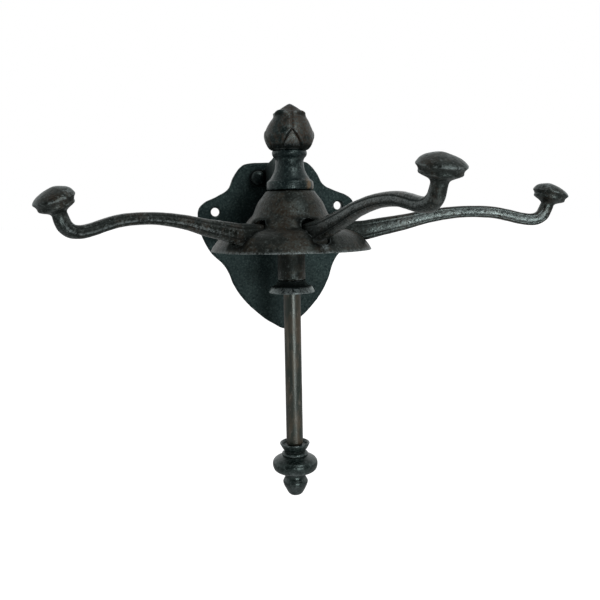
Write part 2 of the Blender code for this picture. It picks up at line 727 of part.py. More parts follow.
def build_arm(side, pivot, parts, tools):
    """A hook arm: a lofted casting from its eye to its stem, joined to its turned knob."""
    builder = bmesh.new()
    out = ARM_REACHES[side] - PIN_OFFSET
    rows = [[builder.verts.new(point) for point in ring] for ring in arm_rings(out)]
    count = ARM_SECTION_SIDES
    for row, following in zip(rows, rows[1:]):
        for index in range(count):
            after = (index + 1) % count
            builder.faces.new((row[index], row[after], following[after], following[index]))
    builder.faces.new(rows[0])
    builder.faces.new(list(reversed(rows[-1])))
    arm = add_object(f"{side}_arm", mesh_from(builder, f"{side}_arm"), parts, BROWN_IRON)
    tilt = math.radians(ARM_TILTS[side])
    place(arm, (0.0, 0.0, 0.0), (0.0, -tilt, 0.0), pivot)
    points = scaled(
        KNOB_OUTLINE_SHARES, KNOB_RADII[side], KNOB_HEIGHT, -KNOB_RIDGE_SHARE * KNOB_HEIGHT
    )
    knob = turned(f"{side}_knob", [*points, (0.0, points[-1][1])], tools)
    place(knob, (out, 0.0, ARM_RISE), (0.0, math.radians(KNOB_LEAN), 0.0), arm)
    boolean(arm, as_tool(knob), "UNION")
    eye = as_tool(
        cylinder(
            f"{side}_eye", PIN_BORE_RADIUS, ARM_ROOT_WIDTH + 2 * BOOLEAN_OVERRUN, tools
        )
    )
    place(eye, (0.0, 0.0, 0.0), (math.pi / 2, 0.0, 0.0), pivot)
    boolean(arm, eye, "DIFFERENCE")
    return arm


def build_collar(parts, slide):
    """The flared collar under the hub, with an inner groove for its friction ring."""
    outline = scaled(COLLAR_OUTLINE_SHARES, COLLAR_RADIUS, COLLAR_HEIGHT, COLLAR_BOTTOM)
    middle = COLLAR_BOTTOM + COLLAR_HEIGHT / 2
    groove = BORE_RADIUS + FRICTION_RING_WALL + TOUCH_GAP
    top = middle + FRICTION_RING_HEIGHT / 2 + TOUCH_GAP
    low = middle - FRICTION_RING_HEIGHT / 2 - TOUCH_GAP
    points = [
        (BORE_RADIUS, COLLAR_TOP),
        *outline,
        (BORE_RADIUS, COLLAR_BOTTOM),
        (BORE_RADIUS, low),
        (groove, low),
        (groove, top),
        (BORE_RADIUS, top),
    ]
    collar = turned("slide_collar", points, parts, DARK_IRON, ring=True)
    place(collar, (0.0, 0.0, 0.0), parent=slide)
    ring = turned(
        "friction_ring",
        [
            (BORE_RADIUS, middle + FRICTION_RING_HEIGHT / 2),
            (BORE_RADIUS + FRICTION_RING_WALL, middle + FRICTION_RING_HEIGHT / 2),
            (BORE_RADIUS + FRICTION_RING_WALL, middle - FRICTION_RING_HEIGHT / 2),
            (BORE_RADIUS, middle - FRICTION_RING_HEIGHT / 2),
        ],
        parts,
        PIN_STEEL,
        SMALL_STEPS,
        ring=True,
    )
    place(ring, (0.0, 0.0, 0.0), parent=slide)


def build():
    """Builds the whole coat hook."""
    clear_scene()
    parts = new_collection("sliding_coat_hook")
    tools = new_collection("cutters")
    plate = build_plate(parts, tools)
    build_bracket(parts, tools, plate)
    build_rivets(parts)
    build_rod(parts)
    build_finial(parts)
    build_stop(parts)
    slide = empty("slide_axis", (0.0, AXIS_Y, 0.0), parts)
    build_collar(parts, slide)
    swivel = empty("swivel_axis", (0.0, 0.0, 0.0), parts, parent=slide)
    hub = build_hub(parts, tools, swivel)
    pivots = {}
    for side, azimuth in ARM_AZIMUTHS.items():
        turn = math.radians(azimuth)
        spot = (PIN_OFFSET * math.cos(turn), -PIN_OFFSET * math.sin(turn), PIN_Z)
        pivots[side] = empty(f"{side}_pivot", spot, parts, (0.0, 0.0, -turn), swivel)
    for side, pivot in pivots.items():
        add_slot(hub, side, pivot, tools)
    bores = [add_lugs(hub, side, pivot, tools) for side, pivot in pivots.items()]
    for bore in bores:
        boolean(hub, bore, "DIFFERENCE")
    for side, pivot in pivots.items():
        build_pin(side, pivot, parts)
        build_arm(side, pivot, parts, tools)


build()
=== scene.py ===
"""Looks of a cast-iron sliding coat hook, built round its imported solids.

Each visible casting is a surface worked out with numpy in the solids' own frame: metres, +Z up, the
wall behind at Y = 0 and the room at -Y. Azimuths are measured round the rod from +X towards the room.
Angles are in radians, but in degrees for the camera, the arms' tilts, the knobs' leans and the flutes.
"""

import json
import math

import bmesh
import bpy
import numpy as np
from mathutils import Matrix, Vector


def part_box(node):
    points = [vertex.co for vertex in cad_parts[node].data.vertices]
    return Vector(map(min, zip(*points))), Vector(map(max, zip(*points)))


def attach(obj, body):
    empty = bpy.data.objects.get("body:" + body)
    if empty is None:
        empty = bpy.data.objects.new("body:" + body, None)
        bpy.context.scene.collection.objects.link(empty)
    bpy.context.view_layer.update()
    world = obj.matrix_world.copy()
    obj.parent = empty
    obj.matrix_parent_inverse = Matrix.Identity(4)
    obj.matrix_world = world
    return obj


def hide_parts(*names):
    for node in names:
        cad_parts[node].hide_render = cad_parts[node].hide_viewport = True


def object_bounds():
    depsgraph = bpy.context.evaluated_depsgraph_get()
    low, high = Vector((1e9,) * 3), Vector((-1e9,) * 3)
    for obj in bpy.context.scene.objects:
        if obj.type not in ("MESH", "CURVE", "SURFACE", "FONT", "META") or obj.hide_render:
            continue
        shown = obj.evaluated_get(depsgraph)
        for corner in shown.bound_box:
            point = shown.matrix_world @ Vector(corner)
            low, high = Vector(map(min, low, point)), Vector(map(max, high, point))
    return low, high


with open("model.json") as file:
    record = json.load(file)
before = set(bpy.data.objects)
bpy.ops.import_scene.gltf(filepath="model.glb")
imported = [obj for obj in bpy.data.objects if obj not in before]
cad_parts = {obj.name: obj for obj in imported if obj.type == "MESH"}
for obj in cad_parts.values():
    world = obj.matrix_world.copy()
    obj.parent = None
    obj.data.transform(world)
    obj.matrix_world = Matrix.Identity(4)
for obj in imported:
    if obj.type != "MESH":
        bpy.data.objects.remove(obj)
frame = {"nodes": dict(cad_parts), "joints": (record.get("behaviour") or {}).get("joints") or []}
cad_low, cad_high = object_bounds()

# Grids and joins
WELD = 0.000001
CUT_OVERRUN = 0.002
TOUCH_GAP = 0.0003
ROUND_COLUMNS = 160
SMALL_COLUMNS = 64
TURNED_STEP = 0.0004
SPLINE_CUTS = 32
BOX_STEPS = 24
SMOOTHING_STEPS = (0.5, -0.52)
SMOOTHING_ROUNDS = 3

# Casting skin: lumps as (size, height) pairs, the repeatable numbers behind them, ridge finding
CAST_COATS = [(0.006, 0.00008), (0.0022, 0.00005)]
PLATE_COATS = [(0.012, 0.00014), (0.004, 0.00008), (0.0017, 0.00006)]
FINIAL_COATS = [(0.004, 0.00006), (0.0018, 0.00004)]
ROD_COATS = [(0.008, 0.00004)]
COAT_SEED_STEP = 7
LATTICE_WAVES = (12.9898, 78.233, 37.719)
LATTICE_SPREAD = 43758.5453
RIDGE_ROUNDS = 6

# Camera, fitted to the photograph
CAMERA_PLACE = (-0.06433, -0.43708, -0.00413)
CAMERA_YAW = 10.145
CAMERA_PITCH = 6.913
CAMERA_ROLL = -1.004
CAMERA_LENS = 42.06
SENSOR_WIDTH = 36.0
NEAR_CLIP = 0.01

# Line of the rod, and the turn that lays an upright shape towards the room
AXIS = Vector(next(j for j in frame["joints"] if j["name"] == "hub_swivel")["pos_m"])
TO_ROOM = Matrix.Rotation(math.pi / 2, 4, "X")

# Studio
FLOOR_DROP = 0.29
FLOOR_REACH = 30.0
FLOOR_GREY = 0.60
FLOOR_LIFT = (0.55, 0.85)
FLOOR_LIFT_REACH = (0.25, 0.45)
ROOM_LEVEL = 0.08
BACKDROP_TURN = (-0.72, 0.02)
CEILING_DIM = 0.6
CEILING_TURN = (0.25, 0.95)
LAMP_AIM = (0.0, -0.05, -0.03)
# Each lamp's place, width and power
LAMPS = {"front": ((0.19, -1.13, -0.13), 0.26, 6.0), "key": ((0.30, -0.75, 0.75), 0.34, 5.0)}

# Back plate
PLATE_HALF_WIDTH = 0.0492
PLATE_TOP = 0.0282
PLATE_DROP = 0.0752
PLATE_THICKNESS = 0.005
PLATE_EDGE = 0.0016
PLATE_SKEW = math.radians(2.2)
PLATE_HEART = (0.0, -0.020)
PLATE_STEP = 0.0007
PLATE_BACK_RINGS = 12
PLATE_SIDE_RINGS = 5
PLATE_EDGE_RINGS = 9
PLATE_FRONT_RINGS = 76
SCREW_SPACING = 0.0768
SCREW_HOLE_RADIUS = 0.0026
COUNTERSINK_RADIUS = 0.0036
COUNTERSINK_DEPTH = 0.0014
PLATE_OUTLINE_SHARES = [
    (0.00, 1.00), (0.18, 1.005), (0.34, 1.00), (0.435, 0.93), (0.53, 0.72), (0.60, 0.48),
    (0.75, 0.33), (0.90, 0.22), (0.985, 0.06), (0.995, -0.08), (0.96, -0.195), (0.87, -0.325),
    (0.725, -0.43), (0.66, -0.51), (0.62, -0.59), (0.56, -0.67), (0.48, -0.745), (0.38, -0.82),
    (0.25, -0.90), (0.12, -0.96), (0.0, -1.0),
]

# Bracket
NECK_BOTTOM = 0.0096
NECK_HEIGHT = 0.0213
NECK_RADIUS = 0.0128
FOOT_RUST_AZIMUTH = math.radians(38)
FOOT_RUST_RISE = NECK_RADIUS / 6
FOOT_RUST_REACH = (0.0020, 0.0058)
WEB_WIDTH = 0.0160
WEB_TOP_AT_PLATE = 0.0266
WEB_TOP_AT_NECK = 0.0300
WEB_BOTTOM = 0.0120
WEB_END = -0.0495
WEB_WAIST_SHARE = 0.10
WEB_SHARPNESS = (9.0, 9.0)
WEB_STEPS = 64
# Painted shade on the web and the pad behind the neck
WEB_SHADE = 0.9
WEB_SHADE_START = (0.002, 0.009)
PAD_BACK = -0.0053
PAD_THICKNESS = 0.003
PAD_HEIGHT = 0.0186
PAD_END_RADIUS = 0.0053
PAD_COLUMNS = 96
PAD_EDGE_SHARES = [(0.0, 0.0), (1.0, 0.0), (1.0, 0.78), (0.97, 0.93), (0.91, 1.0), (0.0, 1.0)]
RIVET_SPACING = 0.024
BRACKET_VOXEL = 0.00034
NECK_OUTLINE_SHARES = [
    [(0.26, 1.0), (0.70, 1.00)],
    [(0.70, 1.00), (0.738, 0.968), (0.745, 0.93), (0.735, 0.885), (0.70, 0.845)],
    [(0.70, 0.845), (0.635, 0.80), (0.60, 0.735), (0.61, 0.62), (0.645, 0.51), (0.75, 0.375),
     (0.87, 0.265), (0.975, 0.215)],
    [(0.975, 0.215), (1.00, 0.18), (1.005, 0.10), (1.00, 0.02), (0.985, 0.0)],
    [(0.985, 0.0), (0.26, 0.0)],
]

# Bud finial: its outline through a petal's middle and through the seam between two petals, tip first
BUD_RADIUS = 0.0136
BUD_SIDES = 4
BUD_SEAM_AZIMUTH = math.radians(92)
BUD_PETAL_SHARES = [
    (0.0, 1.0), (0.10, 0.98), (0.21, 0.95), (0.34, 0.912), (0.42, 0.89), (0.50, 0.873),
    (0.60, 0.857), (0.72, 0.842), (0.78, 0.82), (0.79, 0.795), (0.76, 0.76), (0.755, 0.70),
    (0.84, 0.60), (0.945, 0.46), (0.985, 0.36), (1.0, 0.28), (0.97, 0.19), (0.90, 0.10),
    (0.82, 0.035), (0.74, 0.0),
]
BUD_SEAM_SHARES = [
    (0.0, 1.0), (0.09, 0.98), (0.17, 0.95), (0.28, 0.91), (0.34, 0.88), (0.40, 0.85),
    (0.46, 0.82), (0.52, 0.80), (0.56, 0.785), (0.585, 0.765), (0.60, 0.745), (0.65, 0.695),
    (0.775, 0.60), (0.91, 0.46), (0.97, 0.36), (0.99, 0.28), (0.965, 0.19), (0.90, 0.10),
    (0.82, 0.035), (0.74, 0.0),
]
BUD_PETAL_FLARES = (0.50, 1.05, 0.90, 0.75)
BUD_COLUMNS = 360
BUD_STEP_SHARE = 0.7
BUD_SHIFT = 0.0006
BUD_SHIFT_SHARES = (0.40, 0.80)
BUD_SEAT = 0.0007
PETAL_POWER = 1.4
SEAM_DEPTH = 0.0005
SEAM_WIDTH = 0.065
SEAM_START_SHARES = (0.38, 0.43)
SEAM_END_SHARES = (0.72, 0.80)
SEPAL_TOP_SHARE = 0.40
SEPAL_BOTTOM_SHARE = 0.04
SEPAL_FOOT_SHARES = (0.02, 0.07)
SEPAL_TIP_FADE_SHARE = 0.02
SEPAL_HALF_ANGLE = 0.45
SEPAL_POWER = 0.85
SEPAL_DEPTH = 0.0007
SEPAL_GROOVE_WIDTH = 0.040
SEPAL_LIP_ANGLE = 0.085
SEPAL_LIP_WIDTH = 0.050
SEPAL_LIP_HEIGHT = 0.00035

# Wear, painted highlights and painted shade on the bud, each place a middle and a width, or a start
# and an end
SEPAL_RUB = 0.3
SEPAL_WORN_INSIDE = (0.02, 0.06)
SEPAL_WORN_SHARES = (0.03, 0.08)
# Painted highlights on the sepals' lips and on the petals' tips beside the seams
SEPAL_LIP_HIGHLIGHT = 0.6
SEPAL_LIP_HIGHLIGHT_SHARES = (0.36, 0.07)
PETAL_TIP_HIGHLIGHT = 0.9
PETAL_TIP_HIGHLIGHT_ANGLE = (0.33, 0.10)
PETAL_TIP_HIGHLIGHT_SHARES = (0.785, 0.022)
# Painted shade in the notch at the crown's left, under the petals' tips and under the bulb
NOTCH_TURN = (math.radians(-155), 0.30)
NOTCH_SHARES = (0.87, 0.035)
UNDER_TIP_SHADE = 0.7
UNDER_TIP_SHARES = (0.745, 0.05)
UNDER_TIP_ANGLES = (0.20, 0.5)
BUD_FOOT_SHADE = 0.8
BUD_FOOT_SHARES = (0.06, 0.14)

# Turned stop knob and collar, each a few smooth runs of its outline between corners
STOP_OUTLINE_SHARES = [
    [(0.24, 0.95), (0.49, 0.95), (0.575, 0.990)],
    [(0.575, 0.990), (0.62, 1.0), (0.65, 0.995), (0.655, 0.975), (0.60, 0.93), (0.54, 0.885),
     (0.47, 0.86)],
    [(0.47, 0.86), (0.455, 0.846), (0.465, 0.832)],
    [(0.465, 0.832), (0.55, 0.815), (0.585, 0.788), (0.54, 0.762)],
    [(0.54, 0.762), (0.72, 0.732), (0.88, 0.702), (0.97, 0.66), (1.0, 0.61), (0.985, 0.553),
     (0.92, 0.498), (0.76, 0.458), (0.50, 0.435)],
    [(0.50, 0.435), (0.455, 0.40), (0.465, 0.35), (0.54, 0.29), (0.555, 0.25), (0.50, 0.185),
     (0.39, 0.10), (0.30, 0.04), (0.17, 0.008), (0.0, 0.0)],
]
STOP_SOCKET_SHARE = 0.95
# Painted highlights on the stop's front, broken up like wear
STOP_HIGHLIGHT_AZIMUTH = math.radians(98)
STOP_HIGHLIGHT_WIDTH = 0.35
# Each painted highlight on the stop's front: how far up it is, how high and how bright
STOP_HIGHLIGHT_SHARES = [(0.50, 0.05, 0.5), (0.22, 0.06, 0.25)]
COLLAR_OUTLINE_SHARES = [
    [(0.40, 1.0), (0.62, 1.0)],
    [(0.62, 1.0), (0.635, 0.87), (0.67, 0.74), (0.74, 0.62), (0.84, 0.53)],
    [(0.84, 0.53), (0.885, 0.46), (0.93, 0.33), (0.985, 0.11)],
    [(0.985, 0.11), (0.995, 0.05), (0.97, 0.0)],
    [(0.97, 0.0), (0.40, 0.0)],
]
# Painted shade in the collar's hollow top
COLLAR_HOLLOW_SHARES = (0.48, 0.56)
# A painted highlight on the collar's flank, and wear on its lower edge
COLLAR_FLANK_HIGHLIGHT = 0.75
COLLAR_FLANK_SHARES = (0.42, 0.52)
COLLAR_EDGE_RUB = 0.25
COLLAR_EDGE_SHARES = (0.06, 0.09)

# Rivet heads
RIVET_RADIUS = 0.0042
RIVET_HEIGHT = 0.0026
RIVET_FLATNESS = 0.8
RIVET_SHANK_RADIUS = 0.0018
RIVET_SHANK_LENGTH = 0.0083
RIVET_ROWS = 24

# Bell hub
BELL_HEIGHT = 0.0324
BELL_WALL = 0.003
BELL_BORE = 0.00505
BELL_VOXEL = 0.00058
BELL_COLUMNS = 220
BELL_STEP = 0.0006
SLEEVE_RADIUS = 0.0077
BELL_OUTLINE_SHARES = [
    [(0.115, 1.0), (0.285, 1.0)],
    [(0.285, 1.0), (0.305, 0.985), (0.353, 0.90), (0.402, 0.81), (0.438, 0.70), (0.472, 0.60),
     (0.535, 0.51), (0.576, 0.43), (0.588, 0.388)],
    [(0.588, 0.388), (0.615, 0.376), (0.68, 0.355), (0.755, 0.33), (0.854, 0.26), (0.921, 0.167),
     (0.971, 0.074), (1.0, 0.0)],
]
SLOT_WIDTH = 0.0094
SLOT_NEAR = -0.0046
SLOT_FAR = 0.0214
SLOT_FLOOR = -0.0064
SLOT_ROOF = 0.0062
SLOT_RISE = 0.0012
SLOT_DROP = 0.0013
SLOT_SHARPNESS = (14.0, 3.4)
SLOT_STEPS = 40

# Pin webs and heel stops inside the bell
PIN_WEB_GAP = 0.0044
PIN_WEB_THICKNESS = 0.003
PIN_WEB_HEIGHT = 0.010
PIN_WEB_INNER = -0.0152
PIN_WEB_OUTER = 0.0033
HEEL_STOP_LOW = 0.0042
HEEL_STOP_HIGH = 0.0064
HEEL_STOP_NEAR = -0.0047
HEEL_STOP_FAR = -0.0019
INNER_SHARPNESS = (10.0, 10.0)

# Wear, a painted glint and painted shade on the hub
RIM_WORN_REACH = 0.0009
# A painted glint on the lip of the middle arm's slot
SLOT_LIP_WIDTH = 0.001
SLOT_LIP_GLINT_REACH = (0.0012, 0.0030)
# The bell's painted shadow on the sleeve, and painted shade round the slots
SLEEVE_SHADE = 0.40
SLEEVE_SHADE_START = (0.001, 0.004)
SLEEVE_SHADE_END = (0.009, 0.013)
SLOT_SHADE = 0.95
SLOT_SHADE_REACH = (0.0006, 0.0034)
SLOT_SHADE_START = (0.0, 0.004)

# Arms
PIN_OFFSET = 0.020
ARM_REACHES = {"left": 0.1409, "middle": 0.1420, "right": 0.1411}
ARM_TILTS = {"left": -1.45, "middle": 2.95, "right": -1.0}
ARM_RISE = 0.0208
ARM_ROOT = (0.0080, 0.0110)
ARM_STEMS = {"left": (0.0057, 0.0056), "middle": (0.0065, 0.0064), "right": (0.0063, 0.0062)}
ARM_COLUMNS = 96
ARM_STEP = 0.0006
ARM_SQUARENESS = 2.6
ARM_ROUND_RUN = 0.008
ARM_PATH_SHARES = [
    (-0.033, 0.0, 1.1), (-0.022, 0.0, 0.75), (0.0, 0.0, 0.60), (0.06, 0.0, 0.32),
    (0.12, 0.0, 0.05), (0.17, 0.02, 0.05), (0.25, 0.117, 0.25), (0.35, 0.234, 0.50),
    (0.45, 0.376, 0.75), (0.55, 0.468, 0.92), (0.64, 0.507, 1.0), (0.74, 0.488, 1.0),
    (0.81, 0.415, 1.0), (0.865, 0.335, 1.0), (0.910, 0.300, 0.98), (0.942, 0.325, 0.92),
    (0.964, 0.41, 0.86), (0.975, 0.522, 0.84),
]
FLUTE_DEPTH_SHARE = 0.11
FLUTE_HALF_ANGLE = 0.10
FLUTE_SPOTS = (26, -32, 154, 212)
FLUTE_START = 0.02
EYE_RADIUS = 0.0019
EYE_REACH = 0.008
EYE_COLUMNS = 40
KNOB_RADII = {"left": 0.0087, "middle": 0.0098, "right": 0.0094}
KNOB_HEIGHT = 0.0112
KNOB_RIDGE_SHARE = 0.60
KNOB_LEANS = {"left": 18.0, "middle": 15.5, "right": 14.5}
KNOB_DROPS = {"left": 0.0006, "middle": 0.0006, "right": 0.0}
KNOB_SKEW = 0.0015
KNOB_STEM_RUN = 0.003
KNOB_OUTLINE_SHARES = [
    [(0.36, 0.0), (0.38, 0.05), (0.45, 0.11), (0.57, 0.165), (0.72, 0.22), (0.84, 0.275)],
    [(0.84, 0.275), (0.865, 0.31), (0.87, 0.355), (0.865, 0.39)],
    [(0.865, 0.39), (0.905, 0.47), (0.975, 0.54), (1.0, 0.585), (0.98, 0.63)],
    [(0.98, 0.63), (0.90, 0.715), (0.80, 0.79), (0.62, 0.87), (0.40, 0.935), (0.20, 0.98),
     (0.08, 0.997), (0.0, 1.0)],
]

# Wear, painted highlights and painted shade on the arms; a bright band has a middle up the section, a
# half width and an amount
ARM_WEAR_AND_SHEEN = {"left": (-0.30, 0.20, 0.55), "middle": (0.05, 0.35, 0.25), "right": (0.0, 0.80, 0.45)}
ARM_SHEEN_CORE_SHARE = 0.6
ARM_SHEEN_SIDE_SHARES = (0.55, 0.85)
ARM_SHEEN_START = (0.024, 0.045)
ARM_SHEEN_END_SHARES = (0.95, 1.0)
# The knobs' tops towards the bell, partly wear and partly a painted highlight
KNOB_WEAR_AND_SHEEN = 0.45
KNOB_SHEEN_SHARES = (0.62, 0.75)
KNOB_FACE_SHARES = (-0.5, 0.1)
# Painted shade in the flutes and at the roots by the bell, and a little darkening on the knobs
ARM_FLUTE_SHADE = {"left": 0.60, "middle": 0.90, "right": 0.35}
FLUTE_RISES = (0.44, -0.53)
FLUTE_SHADE_WIDTH = 0.11
FLUTE_SIDE_SHARES = (0.3, 0.6)
FLUTE_SHADE_START = (0.018, 0.03)
FLUTE_SHADE_END_SHARES = (0.85, 0.95)
ROOT_SHADE = 0.6
ROOT_SHADE_END = (0.018, 0.027)
KNOB_DARKENING = 0.2
KNOB_DARKENING_SHARES = (0.97, 1.0)

# Rod
ROD_RADIUS = 0.00475
ROD_CHAMFER = 0.0006
ROD_SPIGOT = 0.003
ROD_STEP = 0.0008
ROD_COLUMNS = 96

# Cast iron's noises, each its size, detail and roughness, and its pits
CLOUD = (0.012, 4.0, 0.62)
MOTTLE = (0.0034, 4.0, 0.65)
SAND = (0.0012, 3.0, 0.6)
GRIT = (0.0005, 2.0, 0.6)
PIT_SPACING = 0.0019
PIT_RADIUS_SHARE = 0.42

# What shows where: the shares by which the noises are blended, and the ramps over which it shows
PATINA_SHARES = (0.65, 0.35)
PATINA_RAMP = (0.66, 0.78)
PATINA_REACH = 0.3
BLOOM_SHARES = (0.2, 0.35, 0.45)
BLOOM_RAMP = (0.49, 0.58)
BLOOM_AMOUNT = 0.75
# Hollows found from the ridge heights are painted dark, as painted shade
HOLLOW_DEPTHS = (-0.00002, -0.00014)
HOLLOW_SHADE = 0.9
EDGE_HEIGHTS = (0.00005, 0.00018)
EDGE_RAMP = (0.44, 0.60)
# Wear and painted highlights, as marked on each piece, are broken into patches by these noises
WEAR_SHEEN_SHARES = (0.3, 0.45, 0.25)
WEAR_SHEEN_RAMP = (0.40, 0.56)
SALT_SHARES = (0.6, 0.4)
SALT_RAMP = (0.56, 0.64)
SALT_ON_EDGES = 0.5
SALT_PER_SPECK = 0.8
PEPPER_SHARES = (0.2, 0.4, 0.4)
PEPPER_RAMP = (0.51, 0.43)
RUST_RAMP = (0.42, 0.56)
GRAIN_SHARES = (0.6, 0.25, 0.6, -0.4)
GRAIN_HEIGHT = 0.00024

# How it shines: what dulls it, how metallic the bright places and the black of painted shade and scale
# are, and its colours
MOTTLE_DULLNESS = 0.5
HOLLOW_DULLNESS = 0.45
PIT_DULLNESS = 0.15
SHINE_METAL = 0.3
SHADE_AND_SCALE_METAL = 0.8
# The tint of the painted shade in hollows and of the black scale
SHADE_AND_SCALE_TINT = 0.3
IRON_TINT = (0.80, 1.0, 0.97, 1.0)
# The colour of metal bright with wear, and of painted highlights
BRIGHT_IRON = (0.150, 0.175, 0.175)
GOLDEN_RUST = (0.100, 0.062, 0.028)
IRONS = {
    "dark_iron": dict(
        deep=(0.0028, 0.0072, 0.0078), patina=(0.0135, 0.0115, 0.0100), bloom=(0.016, 0.028, 0.027),
        patina_share=0.45, gloss=0.36, specular=0.34, wear=0.35, grain=0.8, speck=0.35,
    ),
    "turned_iron": dict(
        deep=(0.0026, 0.0058, 0.0052), patina=(0.011, 0.0100, 0.0080), bloom=(0.015, 0.024, 0.022),
        patina_share=0.35, gloss=0.32, specular=0.56, wear=0.5, grain=0.45, speck=0.3,
    ),
    "bud_iron": dict(
        deep=(0.0045, 0.0085, 0.0080), patina=(0.030, 0.0175, 0.0105), bloom=(0.020, 0.027, 0.026),
        patina_share=0.75, gloss=0.40, specular=0.32, wear=0.35, grain=0.8, speck=0.2,
    ),
    "plate_iron": dict(
        deep=(0.0060, 0.0148, 0.0152), patina=(0.0100, 0.0168, 0.0168), bloom=(0.022, 0.038, 0.036),
        patina_share=0.3, gloss=0.50, specular=0.20, wear=0.2, grain=2.2, speck=0.2,
    ),
    "bell_iron": dict(
        deep=(0.0056, 0.0058, 0.0042), patina=(0.0210, 0.0132, 0.0072), bloom=(0.022, 0.025, 0.022),
        patina_share=0.65, gloss=0.42, specular=0.28, wear=0.5, grain=1.0, speck=0.3,
    ),
    "brown_iron": dict(
        deep=(0.0056, 0.0062, 0.0048), patina=(0.0240, 0.0135, 0.0078), bloom=(0.022, 0.025, 0.022),
        patina_share=0.6, gloss=0.29, specular=0.45, wear=0.55, grain=0.75, speck=0.50,
    ),
}

# The rod's rubbed iron, its noises with the scale of their axes, which stretches them upright
ROD_STREAK = (0.0026, 4.0, 0.6, (1.0, 1.0, 0.10))
ROD_STAIN = (0.009, 4.0, 0.6, (1.0, 1.0, 0.5))
ROD_GRIT = (0.0006, 3.0, 0.6)
ROD_FLECK = (0.0013, 2.0, 0.5, (1.0, 1.0, 0.30))
ROD_STAIN_RAMP = (0.42, 0.60)
ROD_STREAK_RAMP = (0.48, 0.68)
ROD_STREAK_AMOUNT = 0.7
ROD_BRIGHT_SHARES = (0.7, 0.3)
ROD_BRIGHT_RAMP = (0.59, 0.69)
ROD_BRIGHT_AMOUNT = 0.6
ROD_BRIGHT_METAL = 0.5
ROD_BRIGHT_GLOSS = 0.05
ROD_ROUGHNESS = 0.35
ROD_STAIN_DULLNESS = 0.5
ROD_GRAIN_SHARES = (0.4, 0.6, 0.5)
ROD_GRAIN_HEIGHT = 0.00022
ROD_SPECULAR = 0.5
ROD_TINT = (0.9, 1.0, 0.95, 1.0)
GREEN_BLACK = (0.015, 0.020, 0.016)
ROD_BROWN = (0.046, 0.035, 0.023)
STREAK_GREY = (0.080, 0.072, 0.056)
BARE_STEEL = (0.20, 0.19, 0.165)

# The pins' steel: its scratches, and what it starts from and gains with them
SCRATCH = (0.0008, 3.0, 0.6, (1.0, 1.0, 3.0))
SCRATCH_RAMP = (0.3, 0.7)
SCRATCH_DEPTH = 0.00005
SCRATCH_STRENGTH = 0.6
STEEL_LOOK = {"Roughness": (0.38, 0.15), "Metallic": (0.6, 0.3)}
DULL_STEEL = (0.10, 0.095, 0.09)
PALE_STEEL = (0.24, 0.23, 0.22)


class Value:
    """A shader socket, with arithmetic that adds the Math nodes it needs."""

    def __init__(self, nodes, socket):
        self.nodes = nodes
        self.socket = socket

    def math(self, operation, *others):
        """A Math node on this value and others."""
        inputs = dict(enumerate((self, *others)))
        return self.nodes.node("ShaderNodeMath", {"operation": operation}, inputs)

    def __add__(self, other):
        return self.math("ADD", other)

    def __sub__(self, other):
        return self.math("SUBTRACT", other)

    def __rsub__(self, other):
        return self.nodes.node("ShaderNodeMath", {"operation": "SUBTRACT"}, {0: other, 1: self})

    def __mul__(self, other):
        return self.math("MULTIPLY", other)

    __radd__ = __add__
    __rmul__ = __mul__

    def ramp(self, low, high):
        """0 below low, 1 above high and an S-shaped rise between; low above high falls instead."""
        if low > high:
            return 1 - self.ramp(high, low)
        settings = {"interpolation_type": "SMOOTHSTEP"}
        inputs = {"Value": self, "From Min": low, "From Max": high}
        return self.nodes.node("ShaderNodeMapRange", settings, inputs)


class Nodes:
    """A node tree being built."""

    def __init__(self, tree):
        self.tree = tree

    def node(self, kind, settings=None, inputs=None, output=0):
        """A node of a type, its settings set first, then its sockets' values or links."""
        made = self.tree.nodes.new(kind)
        for name, value in (settings or {}).items():
            setattr(made, name, value)
        for name, value in (inputs or {}).items():
            self.feed(made.inputs[name], value)
        return Value(self, made.outputs[output])

    def feed(self, socket, value):
        """Links a value to a socket, or writes a number there."""
        if isinstance(value, Value):
            self.tree.links.new(value.socket, socket)
        else:
            socket.default_value = value


class Finish(Nodes):
    """A material being built: its Principled shader and the nodes that feed it."""

    def __init__(self, name, **constants):
        self.material = bpy.data.materials.new(name)
        self.material.use_nodes = True
        super().__init__(self.material.node_tree)
        self.shader = self.tree.nodes["Principled BSDF"]
        for socket, value in constants.items():
            self.set(socket.replace("_", " "), value)
        self.place = self.node("ShaderNodeTexCoord", output="Object")

    def set(self, socket, value):
        """Feeds a socket of the shader."""
        self.feed(self.shader.inputs[socket], value)

    def noise(self, size, detail, roughness, scale=None):
        """Cloudy noise from 0 to 1 whose lumps are about size metres, its axes scaled first."""
        place = self.place
        if scale:
            place = self.node("ShaderNodeMapping", None, {"Vector": place, "Scale": scale})
        inputs = {"Vector": place, "Scale": 1 / size, "Detail": detail, "Roughness": roughness}
        return self.node("ShaderNodeTexNoise", None, inputs)

    def cells(self, size):
        """Distance to the nearest of scattered points about size metres apart, 0 at a point."""
        return self.node("ShaderNodeTexVoronoi", None, {"Vector": self.place, "Scale": 1 / size})

    def mark(self, name):
        """A number stored on the piece's points."""
        return self.node("ShaderNodeAttribute", {"attribute_name": name}, output="Fac")

    def mix(self, share, first, second):
        """The first colour going to the second as share goes from 0 to 1.

        The Mix node takes numbers and vectors too: its colours are inputs 6 and 7 and output 2.
        """
        colours = {"Factor": share}
        for slot, colour in ((6, first), (7, second)):
            colours[slot] = colour if isinstance(colour, Value) else (*colour, 1.0)
        return self.node("ShaderNodeMix", {"data_type": "RGBA"}, colours, output=2)

    def bump(self, height, distance, strength=1.0):
        """A normal tilted by a height that spans distance metres."""
        inputs = {"Height": height, "Distance": distance, "Strength": strength}
        return self.node("ShaderNodeBump", None, inputs)


